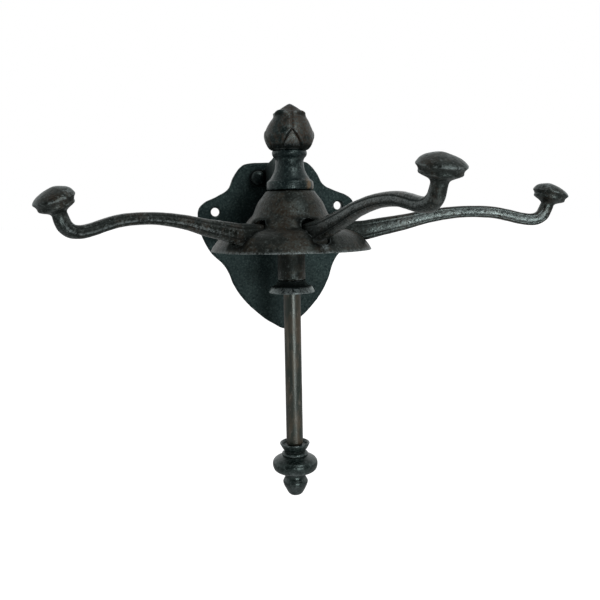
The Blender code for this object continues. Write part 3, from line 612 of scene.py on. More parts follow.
def far_along(line):
    """How far along a line each of its points is."""
    return np.concatenate([[0.0], np.cumsum(np.linalg.norm(np.diff(line, axis=0), axis=1))])


def evenly(line, step):
    """A fine line of points cut anew so that its points lie a step apart along it."""
    far = far_along(line)
    count = max(int(math.ceil(far[-1] / step)), 2)
    marks = np.linspace(0.0, far[-1], count + 1)
    return np.stack([np.interp(marks, far, column) for column in line.T], axis=1)


def spline(points, step, closed=False):
    """A smooth line through points, its own points a step apart.

    Between two points it is the cubic whose slope at each is half the way from the point before to
    the point after (Catmull-Rom). An open line's ends carry on straight.
    """
    knots = np.asarray(points, float)
    if closed:
        ring = np.vstack([knots[-1:], knots, knots[:2]])
    else:
        ring = np.vstack([2 * knots[0] - knots[1], knots, 2 * knots[-1] - knots[-2]])
    spans = len(ring) - 3
    turn = np.linspace(0, spans, spans * SPLINE_CUTS + 1)
    index = np.minimum(turn.astype(int), spans - 1)
    f = (turn - index)[:, None]
    a, b, c, d = ring[index], ring[index + 1], ring[index + 2], ring[index + 3]
    slope = 2 * a - 5 * b + 4 * c - d
    fine = 0.5 * (2 * b + (c - a) * f + slope * f**2 + (3 * b - 3 * c + d - a) * f**3)
    line = evenly(fine, step)
    return line[:-1] if closed else line


def outline(runs, radius, base, height, step=TURNED_STEP):
    """A turned outline: smooth runs of (radius, height) shares joined at their corners."""
    made = []
    for run in runs:
        points = np.array(run) * (radius, height) + (0.0, base)
        line = spline(points, step) if len(run) > 2 else evenly(points, step)
        made.append(line if not made else line[1:])
    return np.vstack(made)


def placed(name, data):
    """A new object in the scene with this mesh, camera or lamp."""
    made = bpy.data.objects.new(name, data)
    bpy.context.scene.collection.objects.link(made)
    return made


def surface(name, grid, along=False):
    """A piece from a grid of points, rows by columns.

    Each point is joined to the next in its row, the last column to the first, and to the same point
    of the next row; along joins the last row to the first. A row shrunk to a point is a pole.
    """
    rows, columns = grid.shape[:2]
    ids = np.arange(rows * columns).reshape(rows, columns)
    ids = np.hstack([ids, ids[:, :1]])
    if along:
        ids = np.vstack([ids, ids[:1]])
    quads = np.stack([ids[:-1, :-1], ids[:-1, 1:], ids[1:, 1:], ids[1:, :-1]], -1)
    mesh = bpy.data.meshes.new(name)
    mesh.from_pydata(grid.reshape(-1, 3).tolist(), [], quads.reshape(-1, 4).tolist())
    builder = bmesh.new()
    builder.from_mesh(mesh)
    bmesh.ops.remove_doubles(builder, verts=builder.verts, dist=WELD)
    bmesh.ops.recalc_face_normals(builder, faces=builder.faces)
    builder.to_mesh(mesh)
    builder.free()
    return placed(name, mesh)


def turned(name, line, centre, columns=ROUND_COLUMNS, along=False):
    """An outline of (radius, height) swept once round the upright line through centre."""
    turn = np.linspace(0, 2 * math.pi, columns, endpoint=False)
    radius, height = line[:, :1], line[:, 1:]
    grid = np.stack(
        [
            centre[0] + radius * np.cos(turn),
            centre[1] + radius * np.sin(turn),
            height + 0 * turn,
        ],
        axis=-1,
    )
    return surface(name, grid, along)


def rounded_box(name, low, high, sharpness, steps=BOX_STEPS, shape=None):
    """A box with soft edges: a ball whose points are pushed out to the box.

    The ball's reach is measured with powers instead of squares, the second of sharpness across X
    and the first along it, and the result is stretched between the corners; shape then moves it.
    """
    across = np.linspace(0, math.pi, steps)[:, None]
    turn = np.linspace(0, 2 * math.pi, 2 * steps, endpoint=False)
    ball = np.stack(
        [np.cos(across) + 0 * turn, np.sin(across) * np.cos(turn), np.sin(across) * np.sin(turn)], -1
    )
    section = np.linalg.norm(ball[..., 1:], ord=sharpness[1], axis=-1)
    both = np.stack([ball[..., 0], section], -1)
    cube = ball / np.linalg.norm(both, ord=sharpness[0], axis=-1)[..., None]
    low, high = np.array(low), np.array(high)
    grid = (low + high) / 2 + cube * (high - low) / 2
    if shape is not None:
        grid = shape(grid)
    return surface(name, grid)


def moved(piece, matrix):
    """The piece with a move applied to its mesh."""
    piece.data.transform(matrix)
    return piece


def applied(piece):
    """The piece with its modifiers worked into its mesh."""
    bpy.context.view_layer.update()
    graph = bpy.context.evaluated_depsgraph_get()
    mesh = bpy.data.meshes.new_from_object(piece.evaluated_get(graph))
    piece.modifiers.clear()
    piece.data = mesh
    return piece


def cut(piece, *cutters):
    """Cuts closed shapes from the piece and removes them."""
    for cutter in cutters:
        modifier = piece.modifiers.new("cut", "BOOLEAN")
        modifier.operation = "DIFFERENCE"
        modifier.object = cutter
        modifier.solver = "EXACT"
    applied(piece)
    for cutter in cutters:
        bpy.data.objects.remove(cutter, do_unlink=True)
    return piece


def joined(piece, others):
    """The piece with the other pieces' meshes added to its own."""
    builder = bmesh.new()
    for one in (piece, *others):
        builder.from_mesh(one.data)
    builder.to_mesh(piece.data)
    builder.free()
    for one in others:
        bpy.data.objects.remove(one, do_unlink=True)
    return piece


def edge_lists(mesh):
    """Each edge's two points, both ways round, and how many edges each point has."""
    ends = np.empty(len(mesh.edges) * 2, np.int64)
    mesh.edges.foreach_get("vertices", ends)
    ends = ends.reshape(-1, 2)
    here = np.concatenate([ends[:, 0], ends[:, 1]])
    there = np.concatenate([ends[:, 1], ends[:, 0]])
    return here, there, np.maximum(np.bincount(here, minlength=len(mesh.vertices)), 1)


def points_of(mesh):
    """The mesh's points as an array."""
    flat = np.empty(len(mesh.vertices) * 3)
    mesh.vertices.foreach_get("co", flat)
    return flat.reshape(-1, 3)


def normals_of(mesh):
    """The mesh's point normals as an array."""
    flat = np.empty(len(mesh.vertices) * 3)
    mesh.vertex_normals.foreach_get("vector", flat)
    return flat.reshape(-1, 3)


def set_points(mesh, points):
    """Writes an array of points back to the mesh."""
    mesh.vertices.foreach_set("co", points.astype(np.float32).ravel())
    mesh.update()


def neighbour_mean(values, here, there, count):
    """Each point's mean of a value, or of a vector, over the points it is joined to."""
    if values.ndim == 1:
        return np.bincount(here, values[there], len(count)) / count
    return np.stack([neighbour_mean(column, here, there, count) for column in values.T], 1)


def relaxed(mesh):
    """Smooths a mesh without shrinking it: each point steps half way towards its neighbours' mean,
    then a little further back away from it, and so on (Taubin)."""
    here, there, count = edge_lists(mesh)
    points = points_of(mesh)
    for _ in range(SMOOTHING_ROUNDS):
        for step in SMOOTHING_STEPS:
            points = points + step * (neighbour_mean(points, here, there, count) - points)
    set_points(mesh, points)


def recast(piece, voxel):
    """Melts overlapping closed shapes into one skin of even squares, with its edges softened."""
    modifier = piece.modifiers.new("skin", "REMESH")
    modifier.mode = "VOXEL"
    modifier.voxel_size = voxel
    applied(piece)
    relaxed(piece.data)
    return piece


def lattice(cells, seed):
    """A repeatable number from -1 to 1 for each cell: the fraction left by a large sine."""
    wave = np.sin(cells @ np.array(LATTICE_WAVES) + seed) * LATTICE_SPREAD
    return 2 * (wave - np.floor(wave)) - 1


def lumps(points, size, seed):
    """Smooth lumps of about a size: the lattice's numbers blended between a cell's corners."""
    scaled = points / size
    cell = np.floor(scaled)
    part = scaled - cell
    part = part * part * (3 - 2 * part)
    total = np.zeros(len(points))
    for corner in np.ndindex(2, 2, 2):
        weight = np.prod(np.where(np.array(corner) == 1, part, 1 - part), axis=1)
        total += weight * lattice(cell + corner, seed)
    return total


def roughened(mesh, coats):
    """Moves each point along its normal by lumps: coats are (size, height) pairs."""
    points = points_of(mesh)
    height = sum(
        high * lumps(points, size, COAT_SEED_STEP * index) for index, (size, high) in enumerate(coats)
    )
    set_points(mesh, points + normals_of(mesh) * height[:, None])


def mark(mesh, name, values):
    """Stores a number on each point for the materials to read."""
    attribute = mesh.attributes.new(name, "FLOAT", "POINT")
    attribute.data.foreach_set("value", np.asarray(values, np.float32))


def mark_ridges(mesh):
    """Stores how far each point stands out of its surroundings, in metres, as "ridge".

    Each point is drawn half way to its neighbours' mean, RIDGE_ROUNDS times over. The ridge is how
    far the point lies above that smoothed place along its normal: above 0 on an edge, below 0 in a
    hollow.
    """
    here, there, count = edge_lists(mesh)
    points = points_of(mesh)
    mean = points
    for _ in range(RIDGE_ROUNDS):
        mean = 0.5 * mean + 0.5 * neighbour_mean(mean, here, there, count)
    mark(mesh, "ridge", ((points - mean) * normals_of(mesh)).sum(1))


def finished(piece, body, material, nodes, coats=CAST_COATS, marks=None):
    """Roughens a piece like a casting, marks its ridges and sets it on its body.

    marks are functions of the points that give each of them a number, by name.
    """
    if coats:
        roughened(piece.data, coats)
    mark_ridges(piece.data)
    for name, function in (marks or {}).items():
        mark(piece.data, name, function(points_of(piece.data)))
    piece.data.materials.clear()
    piece.data.materials.append(material)
    piece.data.shade_smooth()
    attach(piece, body)
    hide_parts(*nodes)


def blend(values, shares):
    """Values added up, each by its share."""
    return sum(value * share for value, share in zip(values, shares))


def cast_iron(name, deep, patina, bloom, patina_share, gloss, specular, wear, grain, speck):
    """Old blackened cast iron.

    A deep ground is clouded with patina, dusted with pale bloom in fine grains and strewn with specks
    of bright metal and of black scale. Hollows and places marked for painted shade are black, and
    metallic, which takes the sheen off them. Ridges and marked places turn bright in broken patches,
    partly as wear and partly as painted highlights.
    """
    f = Finish(name, Specular_IOR_Level=specular, Specular_Tint=IRON_TINT)
    cloud, mottle, sand, grit = (f.noise(*noise) for noise in (CLOUD, MOTTLE, SAND, GRIT))
    pits = f.cells(PIT_SPACING).ramp(PIT_RADIUS_SHARE, 0.0)
    # Marks on the piece: ridge heights, wear with painted highlights, golden rust, and painted shade
    ridge, rubbed, rust, painted_shade = (f.mark(word) for word in ("ridge", "wear_and_sheen", "rust", "painted_shade"))
    hollow = ridge.ramp(*HOLLOW_DEPTHS).math("MAXIMUM", painted_shade)
    start, end = (level - PATINA_REACH * patina_share for level in PATINA_RAMP)
    brown = blend((cloud, mottle), PATINA_SHARES).ramp(start, end)
    pale = blend((cloud, mottle, sand), BLOOM_SHARES).ramp(*BLOOM_RAMP)
    edge = ridge.ramp(*EDGE_HEIGHTS) * mottle.ramp(*EDGE_RAMP) * wear
    # Wear and painted highlights from the marks, broken into patches
    wear_and_sheen = rubbed * blend((mottle, sand, grit), WEAR_SHEEN_SHARES).ramp(*WEAR_SHEEN_RAMP)
    salt = blend((sand, grit), SALT_SHARES).ramp(*SALT_RAMP)
    pepper = blend((mottle, sand, grit), PEPPER_SHARES).ramp(*PEPPER_RAMP) * speck
    shine = edge.math("MAXIMUM", wear_and_sheen) + salt * (edge * SALT_ON_EDGES + SALT_PER_SPECK * speck)
    # Painted shade from hollows and marks, with the real black scale, goes black and metallic
    shade_and_scale = (hollow * HOLLOW_SHADE).math("MAXIMUM", pepper)
    colour = f.mix(brown, deep, patina)
    colour = f.mix(pale * BLOOM_AMOUNT, colour, bloom)
    colour = f.mix(shade_and_scale, colour, tuple(SHADE_AND_SCALE_TINT * c for c in deep))
    colour = f.mix(rust * mottle.ramp(*RUST_RAMP), colour, GOLDEN_RUST)
    f.set("Base Color", f.mix(shine, colour, BRIGHT_IRON))
    dull = gloss + (mottle - 0.5) * MOTTLE_DULLNESS + hollow * HOLLOW_DULLNESS
    f.set("Roughness", dull + pits * PIT_DULLNESS)
    f.set("Metallic", (shine * SHINE_METAL).math("MAXIMUM", shade_and_scale * SHADE_AND_SCALE_METAL))
    height = blend((sand, grit, mottle, pits), GRAIN_SHARES)
    f.set("Normal", f.bump(height, GRAIN_HEIGHT * grain))
    return f.material


def rubbed_rod():
    """The rod's iron, rubbed in upright streaks between brown and green-black stains."""
    f = Finish("rubbed_rod_iron", Specular_IOR_Level=ROD_SPECULAR, Specular_Tint=ROD_TINT)
    noises = (ROD_STREAK, ROD_STAIN, ROD_GRIT, ROD_FLECK)
    streak, stain, grit, fleck = (f.noise(*noise) for noise in noises)
    colour = f.mix(stain.ramp(*ROD_STAIN_RAMP), GREEN_BLACK, ROD_BROWN)
    colour = f.mix(streak.ramp(*ROD_STREAK_RAMP) * ROD_STREAK_AMOUNT, colour, STREAK_GREY)
    bright = blend((fleck, grit), ROD_BRIGHT_SHARES).ramp(*ROD_BRIGHT_RAMP)
    f.set("Base Color", f.mix(bright * ROD_BRIGHT_AMOUNT, colour, BARE_STEEL))
    dull = ROD_ROUGHNESS + (stain - 0.5) * ROD_STAIN_DULLNESS
    f.set("Roughness", dull - bright * ROD_BRIGHT_GLOSS)
    f.set("Metallic", bright * ROD_BRIGHT_METAL)
    f.set("Normal", f.bump(blend((grit, streak, stain), ROD_GRAIN_SHARES), ROD_GRAIN_HEIGHT))
    return f.material


def plain_steel():
    """The pins' drawn steel, dull with fine scratches across them."""
    f = Finish("pin_steel")
    scratch = f.noise(*SCRATCH)
    f.set("Base Color", f.mix(scratch.ramp(*SCRATCH_RAMP), DULL_STEEL, PALE_STEEL))
    for socket, (start, gain) in STEEL_LOOK.items():
        f.set(socket, start + scratch * gain)
    f.set("Normal", f.bump(scratch, SCRATCH_DEPTH, SCRATCH_STRENGTH))
    return f.material


def plate_piece():
    """The back plate: rings of its outline, drawn in towards its heart.

    The rings climb the back edge, round the front edge by a quarter ellipse and go in over the
    front; behind, they go in flat on the wall, past which no point is left.
    """
    half = [
        (x * PLATE_HALF_WIDTH, z * (PLATE_TOP if z > 0 else PLATE_DROP))
        for x, z in PLATE_OUTLINE_SHARES
    ]
    points = half + [(-x, z) for x, z in reversed(half[1:-1])]
    edge = spline(points, PLATE_STEP, closed=True)
    along = np.roll(edge, -1, 0) - np.roll(edge, 1, 0)
    outward = np.stack([along[:, 1], -along[:, 0]], 1)
    outward *= np.sign((outward * (edge - PLATE_HEART)).sum()) / np.linalg.norm(
        outward, axis=1, keepdims=True
    )
    heart = np.array(PLATE_HEART)
    rings = []
    for share in np.linspace(0.0, 1.0, PLATE_BACK_RINGS, endpoint=False):
        rings.append((heart + (edge - heart) * share, 0.0))
    for climb in np.linspace(0.0, PLATE_THICKNESS - PLATE_EDGE, PLATE_SIDE_RINGS):
        rings.append((edge, climb))
    for bend in np.linspace(0.0, math.pi / 2, PLATE_EDGE_RINGS)[1:]:
        inset = PLATE_EDGE * (1 - math.cos(bend))
        climb = PLATE_THICKNESS - PLATE_EDGE + PLATE_EDGE * math.sin(bend)
        rings.append((edge - outward * inset, climb))
    rim = edge - outward * PLATE_EDGE
    for share in np.linspace(1.0, 0.0, PLATE_FRONT_RINGS)[1:]:
        rings.append((heart + (rim - heart) * share, PLATE_THICKNESS))
    grid = np.stack([np.insert(ring, 1, -climb, axis=1) for ring, climb in rings])
    plate = surface("cast_back_plate", grid)
    flare = (COUNTERSINK_RADIUS - SCREW_HOLE_RADIUS) / COUNTERSINK_DEPTH
    line = np.array(
        [
            (0.0, CUT_OVERRUN),
            (COUNTERSINK_RADIUS + flare * CUT_OVERRUN, CUT_OVERRUN),
            (SCREW_HOLE_RADIUS, -COUNTERSINK_DEPTH),
            (SCREW_HOLE_RADIUS, -PLATE_THICKNESS - CUT_OVERRUN),
            (0.0, -PLATE_THICKNESS - CUT_OVERRUN),
        ]
    )
    cutters = []
    for sign in (-1, 1):
        hole = turned("hole", line, (0.0, 0.0), SMALL_COLUMNS)
        stand = Matrix.Translation((sign * SCREW_SPACING / 2, -PLATE_THICKNESS, 0.0))
        cutters.append(moved(hole, stand @ TO_ROOM))
    roughened(plate.data, PLATE_COATS)
    set_points(plate.data, np.minimum(points_of(plate.data), (np.inf, 0.0, np.inf)))
    cut(plate, *cutters)
    return moved(plate, Matrix.Rotation(-PLATE_SKEW, 4, "Y"))


def bracket_piece():
    """The bracket: turned neck, deep web and pad melted into one skin."""
    line = outline(NECK_OUTLINE_SHARES, NECK_RADIUS, NECK_BOTTOM, NECK_HEIGHT)
    neck = turned("cast_bracket", line, AXIS, along=True)

    def web_shape(grid):
        """The web rises to the neck and is a little waisted half way."""
        out_share = np.clip((PAD_BACK - grid[..., 1]) / (PAD_BACK - WEB_END), 0, 1)
        top = WEB_TOP_AT_PLATE + (WEB_TOP_AT_NECK - WEB_TOP_AT_PLATE) * out_share
        up_share = (grid[..., 2] - WEB_BOTTOM) / (WEB_TOP_AT_NECK - WEB_BOTTOM)
        grid[..., 2] = WEB_BOTTOM + up_share * (top - WEB_BOTTOM)
        grid[..., 0] *= 1 - WEB_WAIST_SHARE * np.sin(math.pi * out_share)
        return grid

    web = rounded_box(
        "web",
        (-WEB_WIDTH / 2, WEB_END, WEB_BOTTOM),
        (WEB_WIDTH / 2, PAD_BACK, WEB_TOP_AT_NECK),
        WEB_SHARPNESS,
        WEB_STEPS,
        web_shape,
    )
    turn = np.linspace(0, 2 * math.pi, PAD_COLUMNS, endpoint=False)
    pad_x = PAD_END_RADIUS * np.cos(turn) + np.sign(np.cos(turn)) * RIVET_SPACING / 2
    pad_z = PAD_END_RADIUS * np.sin(turn)
    share, out_share = np.array(PAD_EDGE_SHARES).T[..., None]
    front = PAD_BACK - PAD_THICKNESS * out_share + 0 * turn
    pad = surface("pad", np.stack([pad_x * share, front, PAD_HEIGHT + pad_z * share], -1))
    return recast(joined(neck, [web, pad]), BRACKET_VOXEL)


def rivet_piece(side, sign):
    """A rivet's hammered dome: a quarter ellipse turned round, a little flat on top."""
    bend = np.linspace(0, math.pi / 2, RIVET_ROWS)
    dome = np.stack([RIVET_RADIUS * np.sin(bend), RIVET_HEIGHT * np.cos(bend) ** RIVET_FLATNESS], 1)
    shank = (RIVET_SHANK_RADIUS, -RIVET_SHANK_LENGTH)
    line = np.vstack([dome, [(shank[0], 0.0), shank, (0.0, shank[1])]])
    rivet = turned(f"cast_{side}_rivet", line, (0.0, 0.0), SMALL_COLUMNS)
    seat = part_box(f"{side}_rivet")[0].y + RIVET_HEIGHT
    stand = Matrix.Translation((sign * RIVET_SPACING / 2, seat, PAD_HEIGHT))
    return moved(rivet, stand @ TO_ROOM)


def rise(value, low, high):
    """0 below low, 1 above high and an S-shaped rise between."""
    share = np.clip((value - low) / (high - low), 0, 1)
    return share**2 * (3 - 2 * share)


def bump_at(value, centre, width):
    """A bell curve of height 1."""
    return np.exp(-(((value - centre) / width) ** 2))


def share_up(node, points):
    """Each point's share of the way up a node's box."""
    low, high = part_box(node)
    return (points[:, 2] - low.z) / (high.z - low.z)


def outline_in(node, runs):
    """A turned outline that fills a node's box."""
    low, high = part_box(node)
    return outline(runs, (high.x - low.x) / 2, low.z, high.z - low.z)


def seam_angle(turn):
    """The angle to the nearest seam between two of the bud's petals."""
    half = math.pi / BUD_SIDES
    return np.abs((turn + BUD_SEAM_AZIMUTH + half) % (2 * half) - half)


def sepal_edge(up):
    """A sepal's half angle at a share of the way up the bud: a pointed arch."""
    inside = np.clip((SEPAL_TOP_SHARE - up) / (SEPAL_TOP_SHARE - SEPAL_BOTTOM_SHARE), 0, 1)
    return SEPAL_HALF_ANGLE * inside**SEPAL_POWER


def finial_piece():
    """The bud finial.

    Round it, the outline goes from the petals' to the seams' by a power of the angle away from a
    petal's middle, less far out where a petal's flare is small. A narrow furrow sinks each
    seam, and below it a pointed sepal stands between two furrows, with the petals' lips raised
    beside them. The crown sits a little to the right, and the foot goes a little into the neck.
    """
    low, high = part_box("finial")
    base, height = low.z, high.z - low.z
    size = (BUD_RADIUS, height)
    pairs = np.hstack([np.array(BUD_PETAL_SHARES) * size, np.array(BUD_SEAM_SHARES) * size])
    line = spline(pairs, TURNED_STEP * BUD_STEP_SHARE)
    turn = np.linspace(0, 2 * math.pi, BUD_COLUMNS, endpoint=False)
    half, seam = math.pi / BUD_SIDES, seam_angle(turn)
    petal = ((turn + BUD_SEAM_AZIMUTH) // (2 * half)).astype(int) % BUD_SIDES
    share = 1 - (1 - (1 - seam / half) ** PETAL_POWER) * np.array(BUD_PETAL_FLARES)[petal]
    radius = line[:, :1] + (line[:, 2:3] - line[:, :1]) * share
    up = (line[:, 1:2] + (line[:, 3:] - line[:, 1:2]) * share) / height
    furrow = bump_at(seam, 0.0, SEAM_WIDTH) * rise(up, *SEAM_START_SHARES)
    furrow = furrow * (1 - rise(up, *SEAM_END_SHARES))
    leaf = sepal_edge(up)
    fade = rise(up, SEPAL_TOP_SHARE, SEPAL_TOP_SHARE + SEPAL_TIP_FADE_SHARE)
    shown = rise(up, *SEPAL_FOOT_SHARES) * (1 - fade)
    groove = bump_at(seam, leaf, SEPAL_GROOVE_WIDTH) * shown
    lip = bump_at(seam, leaf + SEPAL_LIP_ANGLE, SEPAL_LIP_WIDTH) * shown
    radius = radius - SEAM_DEPTH * furrow - SEPAL_DEPTH * groove + SEPAL_LIP_HEIGHT * lip
    radius = np.maximum(radius, 0.0)
    grid = np.stack(
        [
            AXIS[0] + radius * np.cos(turn) + BUD_SHIFT * rise(up, *BUD_SHIFT_SHARES),
            AXIS[1] + radius * np.sin(turn),
            base + up * height,
        ],
        -1,
    )
    foot = grid[-1:] * (1.0, 1.0, 0.0) + (0.0, 0.0, base - BUD_SEAT)
    floor = np.repeat(np.array([[[AXIS[0], AXIS[1], base - BUD_SEAT]]]), len(turn), 1)
    return surface("cast_finial", np.vstack([grid, (foot + floor) / 2, floor]))


def bud_place(points):
    """Each point's place on the bud: how far up it, its angle from the nearest seam, its turn."""
    turn = np.arctan2(points[:, 1] - AXIS[1], points[:, 0] - AXIS[0])
    return share_up("finial", points), seam_angle(turn), turn


def bud_wear_and_highlights(points):
    """Sepals paled by wear, with painted highlights on their lips and on the petals' tips beside the
    seams.
    """
    up, seam, _ = bud_place(points)
    leaf = sepal_edge(up)
    lip = bump_at(seam, leaf + SEPAL_LIP_ANGLE, SEPAL_LIP_WIDTH) * bump_at(up, *SEPAL_LIP_HIGHLIGHT_SHARES)
    sepal = rise(leaf - seam, *SEPAL_WORN_INSIDE) * SEPAL_RUB * rise(up, *SEPAL_WORN_SHARES)
    tip = bump_at(seam, *PETAL_TIP_HIGHLIGHT_ANGLE) * bump_at(up, *PETAL_TIP_HIGHLIGHT_SHARES)
    return sepal + SEPAL_LIP_HIGHLIGHT * lip + tip * PETAL_TIP_HIGHLIGHT


def finial_painted_shade(points):
    """Painted shade under the bulb, under the petals' tips and in the notch at the crown's left."""
    up, seam, turn = bud_place(points)
    notch = bump_at(turn, *NOTCH_TURN) * bump_at(up, *NOTCH_SHARES)
    under = bump_at(up, *UNDER_TIP_SHARES) * rise(seam, *UNDER_TIP_ANGLES)
    foot = 1 - rise(up, *BUD_FOOT_SHARES)
    return np.clip(notch + UNDER_TIP_SHADE * under + BUD_FOOT_SHADE * foot, 0, 1)


def stop_piece():
    """The stop knob, turned."""
    line = outline_in("stop_knob", STOP_OUTLINE_SHARES)
    return turned("cast_stop_knob", np.vstack([[(0.0, line[0][1])], line]), AXIS)


def collar_piece():
    """The sliding collar, turned, with its bore."""
    return turned("cast_collar", outline_in("slide_collar", COLLAR_OUTLINE_SHARES), AXIS, along=True)


def rod_piece():
    """The rod with its chamfered shoulders and the two spigots."""
    low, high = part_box("rod")
    top = NECK_BOTTOM - TOUCH_GAP
    stop_low, stop_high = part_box("stop_knob")
    foot = stop_low.z + STOP_SOCKET_SHARE * (stop_high.z - stop_low.z) + TOUCH_GAP
    corners = [
        (0.0, high.z), (ROD_SPIGOT, high.z), (ROD_SPIGOT, top), (ROD_RADIUS - ROD_CHAMFER, top),
        (ROD_RADIUS, top - ROD_CHAMFER), (ROD_RADIUS, foot + ROD_CHAMFER),
        (ROD_RADIUS - ROD_CHAMFER, foot), (ROD_SPIGOT, foot), (ROD_SPIGOT, low.z), (0.0, low.z),
    ]
    runs = [evenly(np.array(pair), ROD_STEP) for pair in zip(corners, corners[1:])]
    line = np.vstack([runs[0], *[run[1:] for run in runs[1:]]])
    return turned("iron_rod", line, AXIS, ROD_COLUMNS)


def arm_frame(side):
    """The move from an arm's own place, pin at the origin and X out along it, to the frame."""
    joint = next(j for j in frame["joints"] if j["name"] == f"{side}_arm_lift")
    across = Vector(joint["axis"])
    out = Vector((-across.y, across.x, 0.0))
    turn = Matrix((out, (-out.y, out.x, 0.0), (0.0, 0.0, 1.0))).transposed().to_4x4()
    return Matrix.Translation(joint["pos_m"]) @ turn


def arm_place(side):
    """The move from an arm's own place to the frame, with the arm's tilt about its pin."""
    return arm_frame(side) @ Matrix.Rotation(-math.radians(ARM_TILTS[side]), 4, "Y")


def in_arm(side, points):
    """Points moved from the frame to an arm's own place."""
    back = np.array(arm_place(side).inverted())
    return points @ back[:3, :3].T + back[:3, 3]


def knob_way(side):
    """The way an arm's knob points, (out, up), leaning out from upright."""
    lean = math.radians(KNOB_LEANS[side])
    return np.array([math.sin(lean), math.cos(lean)])


def arm_line(side):
    """An arm's centreline, points (out, up) a step apart, its section's half width and half depth
    at each, and where it ends, the middle of the knob's underside.

    The section's taper goes through the same smooth line as a third coordinate, made small so that
    it adds nothing to the line's length.
    """
    out, way = ARM_REACHES[side] - PIN_OFFSET, knob_way(side)
    base = np.array([out, ARM_RISE - KNOB_DROPS[side]]) - way * KNOB_RIDGE_SHARE * KNOB_HEIGHT
    knots = [(a * out, h * ARM_RISE, taper * ARM_STEP) for a, h, taper in ARM_PATH_SHARES]
    end_taper = knots[-1][2]
    knots += [(*base, end_taper), (*(base + way * KNOB_STEM_RUN), end_taper)]
    line = spline(knots, ARM_STEP)
    line = line[: np.argmin(np.linalg.norm(line[:, :2] - base, axis=1))]
    taper = line[:, 2:3] / ARM_STEP
    stem = ARM_STEMS[side]
    half_width = (ARM_ROOT[0] + (stem[0] - ARM_ROOT[0]) * taper) / 2
    half_depth = (ARM_ROOT[1] + (stem[1] - ARM_ROOT[1]) * taper) / 2
    return line[:, :2], half_width, half_depth, base


def ways(line):
    """The direction along a line at each of its points."""
    along = np.gradient(line, axis=0)
    return along / np.linalg.norm(along, axis=1, keepdims=True)


def arm_piece(side):
    """An arm with its knob, one skin from heel to dome.

    Along the stem the section is a soft square (a circle's coordinates raised to 2 / squareness)
    with two shallow flutes on each side. At the knob it becomes a circle of the knob's outline,
    and the knob's top is drawn back towards the bell.
    """
    line, half_width, half_depth, base = arm_line(side)
    way = knob_way(side)
    along = ways(line)
    knob = outline(KNOB_OUTLINE_SHARES, KNOB_RADII[side], 0.0, KNOB_HEIGHT)
    turn = np.linspace(0, 2 * math.pi, ARM_COLUMNS, endpoint=False)
    far = far_along(line)
    round_share = np.clip((far - far[-1] + ARM_ROUND_RUN) / ARM_ROUND_RUN, 0, 1)[:, None]
    power = 2 / (ARM_SQUARENESS + (2.0 - ARM_SQUARENESS) * round_share)
    across = np.sign(np.cos(turn)) * np.abs(np.cos(turn)) ** power * half_width
    up = np.sign(np.sin(turn)) * np.abs(np.sin(turn)) ** power * half_depth
    flute = sum(
        bump_at((turn - math.radians(spot) + math.pi) % (2 * math.pi), math.pi, FLUTE_HALF_ANGLE)
        for spot in FLUTE_SPOTS
    )
    flute_share = FLUTE_DEPTH_SHARE * np.clip(far / FLUTE_START, 0, 1)[:, None] * (1 - round_share)
    across = across * (1 - flute_share * flute)
    up = up * (1 - flute_share * flute)
    stem = np.stack([line[:, :1] - along[:, 1:] * up, across, line[:, 1:] + along[:, :1] * up], -1)
    sideways = np.array([way[1], -way[0]])
    skew = rise(knob[:, 1:] / KNOB_HEIGHT, KNOB_RIDGE_SHARE, 1.0)
    centre = base + knob[:, 1:] * way - KNOB_SKEW * skew * sideways
    radius = knob[:, :1]
    head = np.stack(
        [
            centre[:, :1] - sideways[0] * radius * np.sin(turn),
            radius * np.cos(turn),
            centre[:, 1:] - sideways[1] * radius * np.sin(turn),
        ],
        -1,
    )
    heel = np.stack([np.full((1, len(turn)), c) for c in (line[0, 0], 0.0, line[0, 1])], -1)
    arm = surface(f"cast_{side}_arm", np.vstack([heel, stem, head]))
    moved(arm, arm_place(side))
    ends = [(0, -EYE_REACH), (EYE_RADIUS, -EYE_REACH), (EYE_RADIUS, EYE_REACH), (0, EYE_REACH)]
    eye = turned("eye", np.array(ends), (0.0, 0.0), EYE_COLUMNS)
    return cut(arm, moved(eye, arm_frame(side) @ TO_ROOM))


def along_arm(side, points):
    """Each point's place on an arm: its share of the way along, how far up its section and how far
    across it, both from -1 to 1, and its distance out from the pin."""
    line, half_width, half_depth, _ = arm_line(side)
    along = ways(line)
    local = in_arm(side, points)
    flat = local[:, [0, 2]]
    nearest = ((line**2).sum(1) - 2 * flat @ line.T).argmin(1)
    away = flat - line[nearest]
    up = away[:, 1] * along[nearest, 0] - away[:, 0] * along[nearest, 1]
    up_share, across_share = up / half_depth[nearest, 0], local[:, 1] / half_width[nearest, 0]
    return nearest / (len(line) - 1), up_share, across_share, local[:, 0]


def knob_top(side, points):
    """1 on the half of a knob's dome that faces the bell, falling to 0 below the dome and beyond."""
    way, base = knob_way(side), arm_line(side)[3]
    flat = in_arm(side, points)[:, [0, 2]] - base
    height, out = flat @ way / KNOB_HEIGHT, flat @ np.array([way[1], -way[0]]) / KNOB_RADII[side]
    return rise(height, *KNOB_SHEEN_SHARES) * (1 - rise(out, *KNOB_FACE_SHARES))


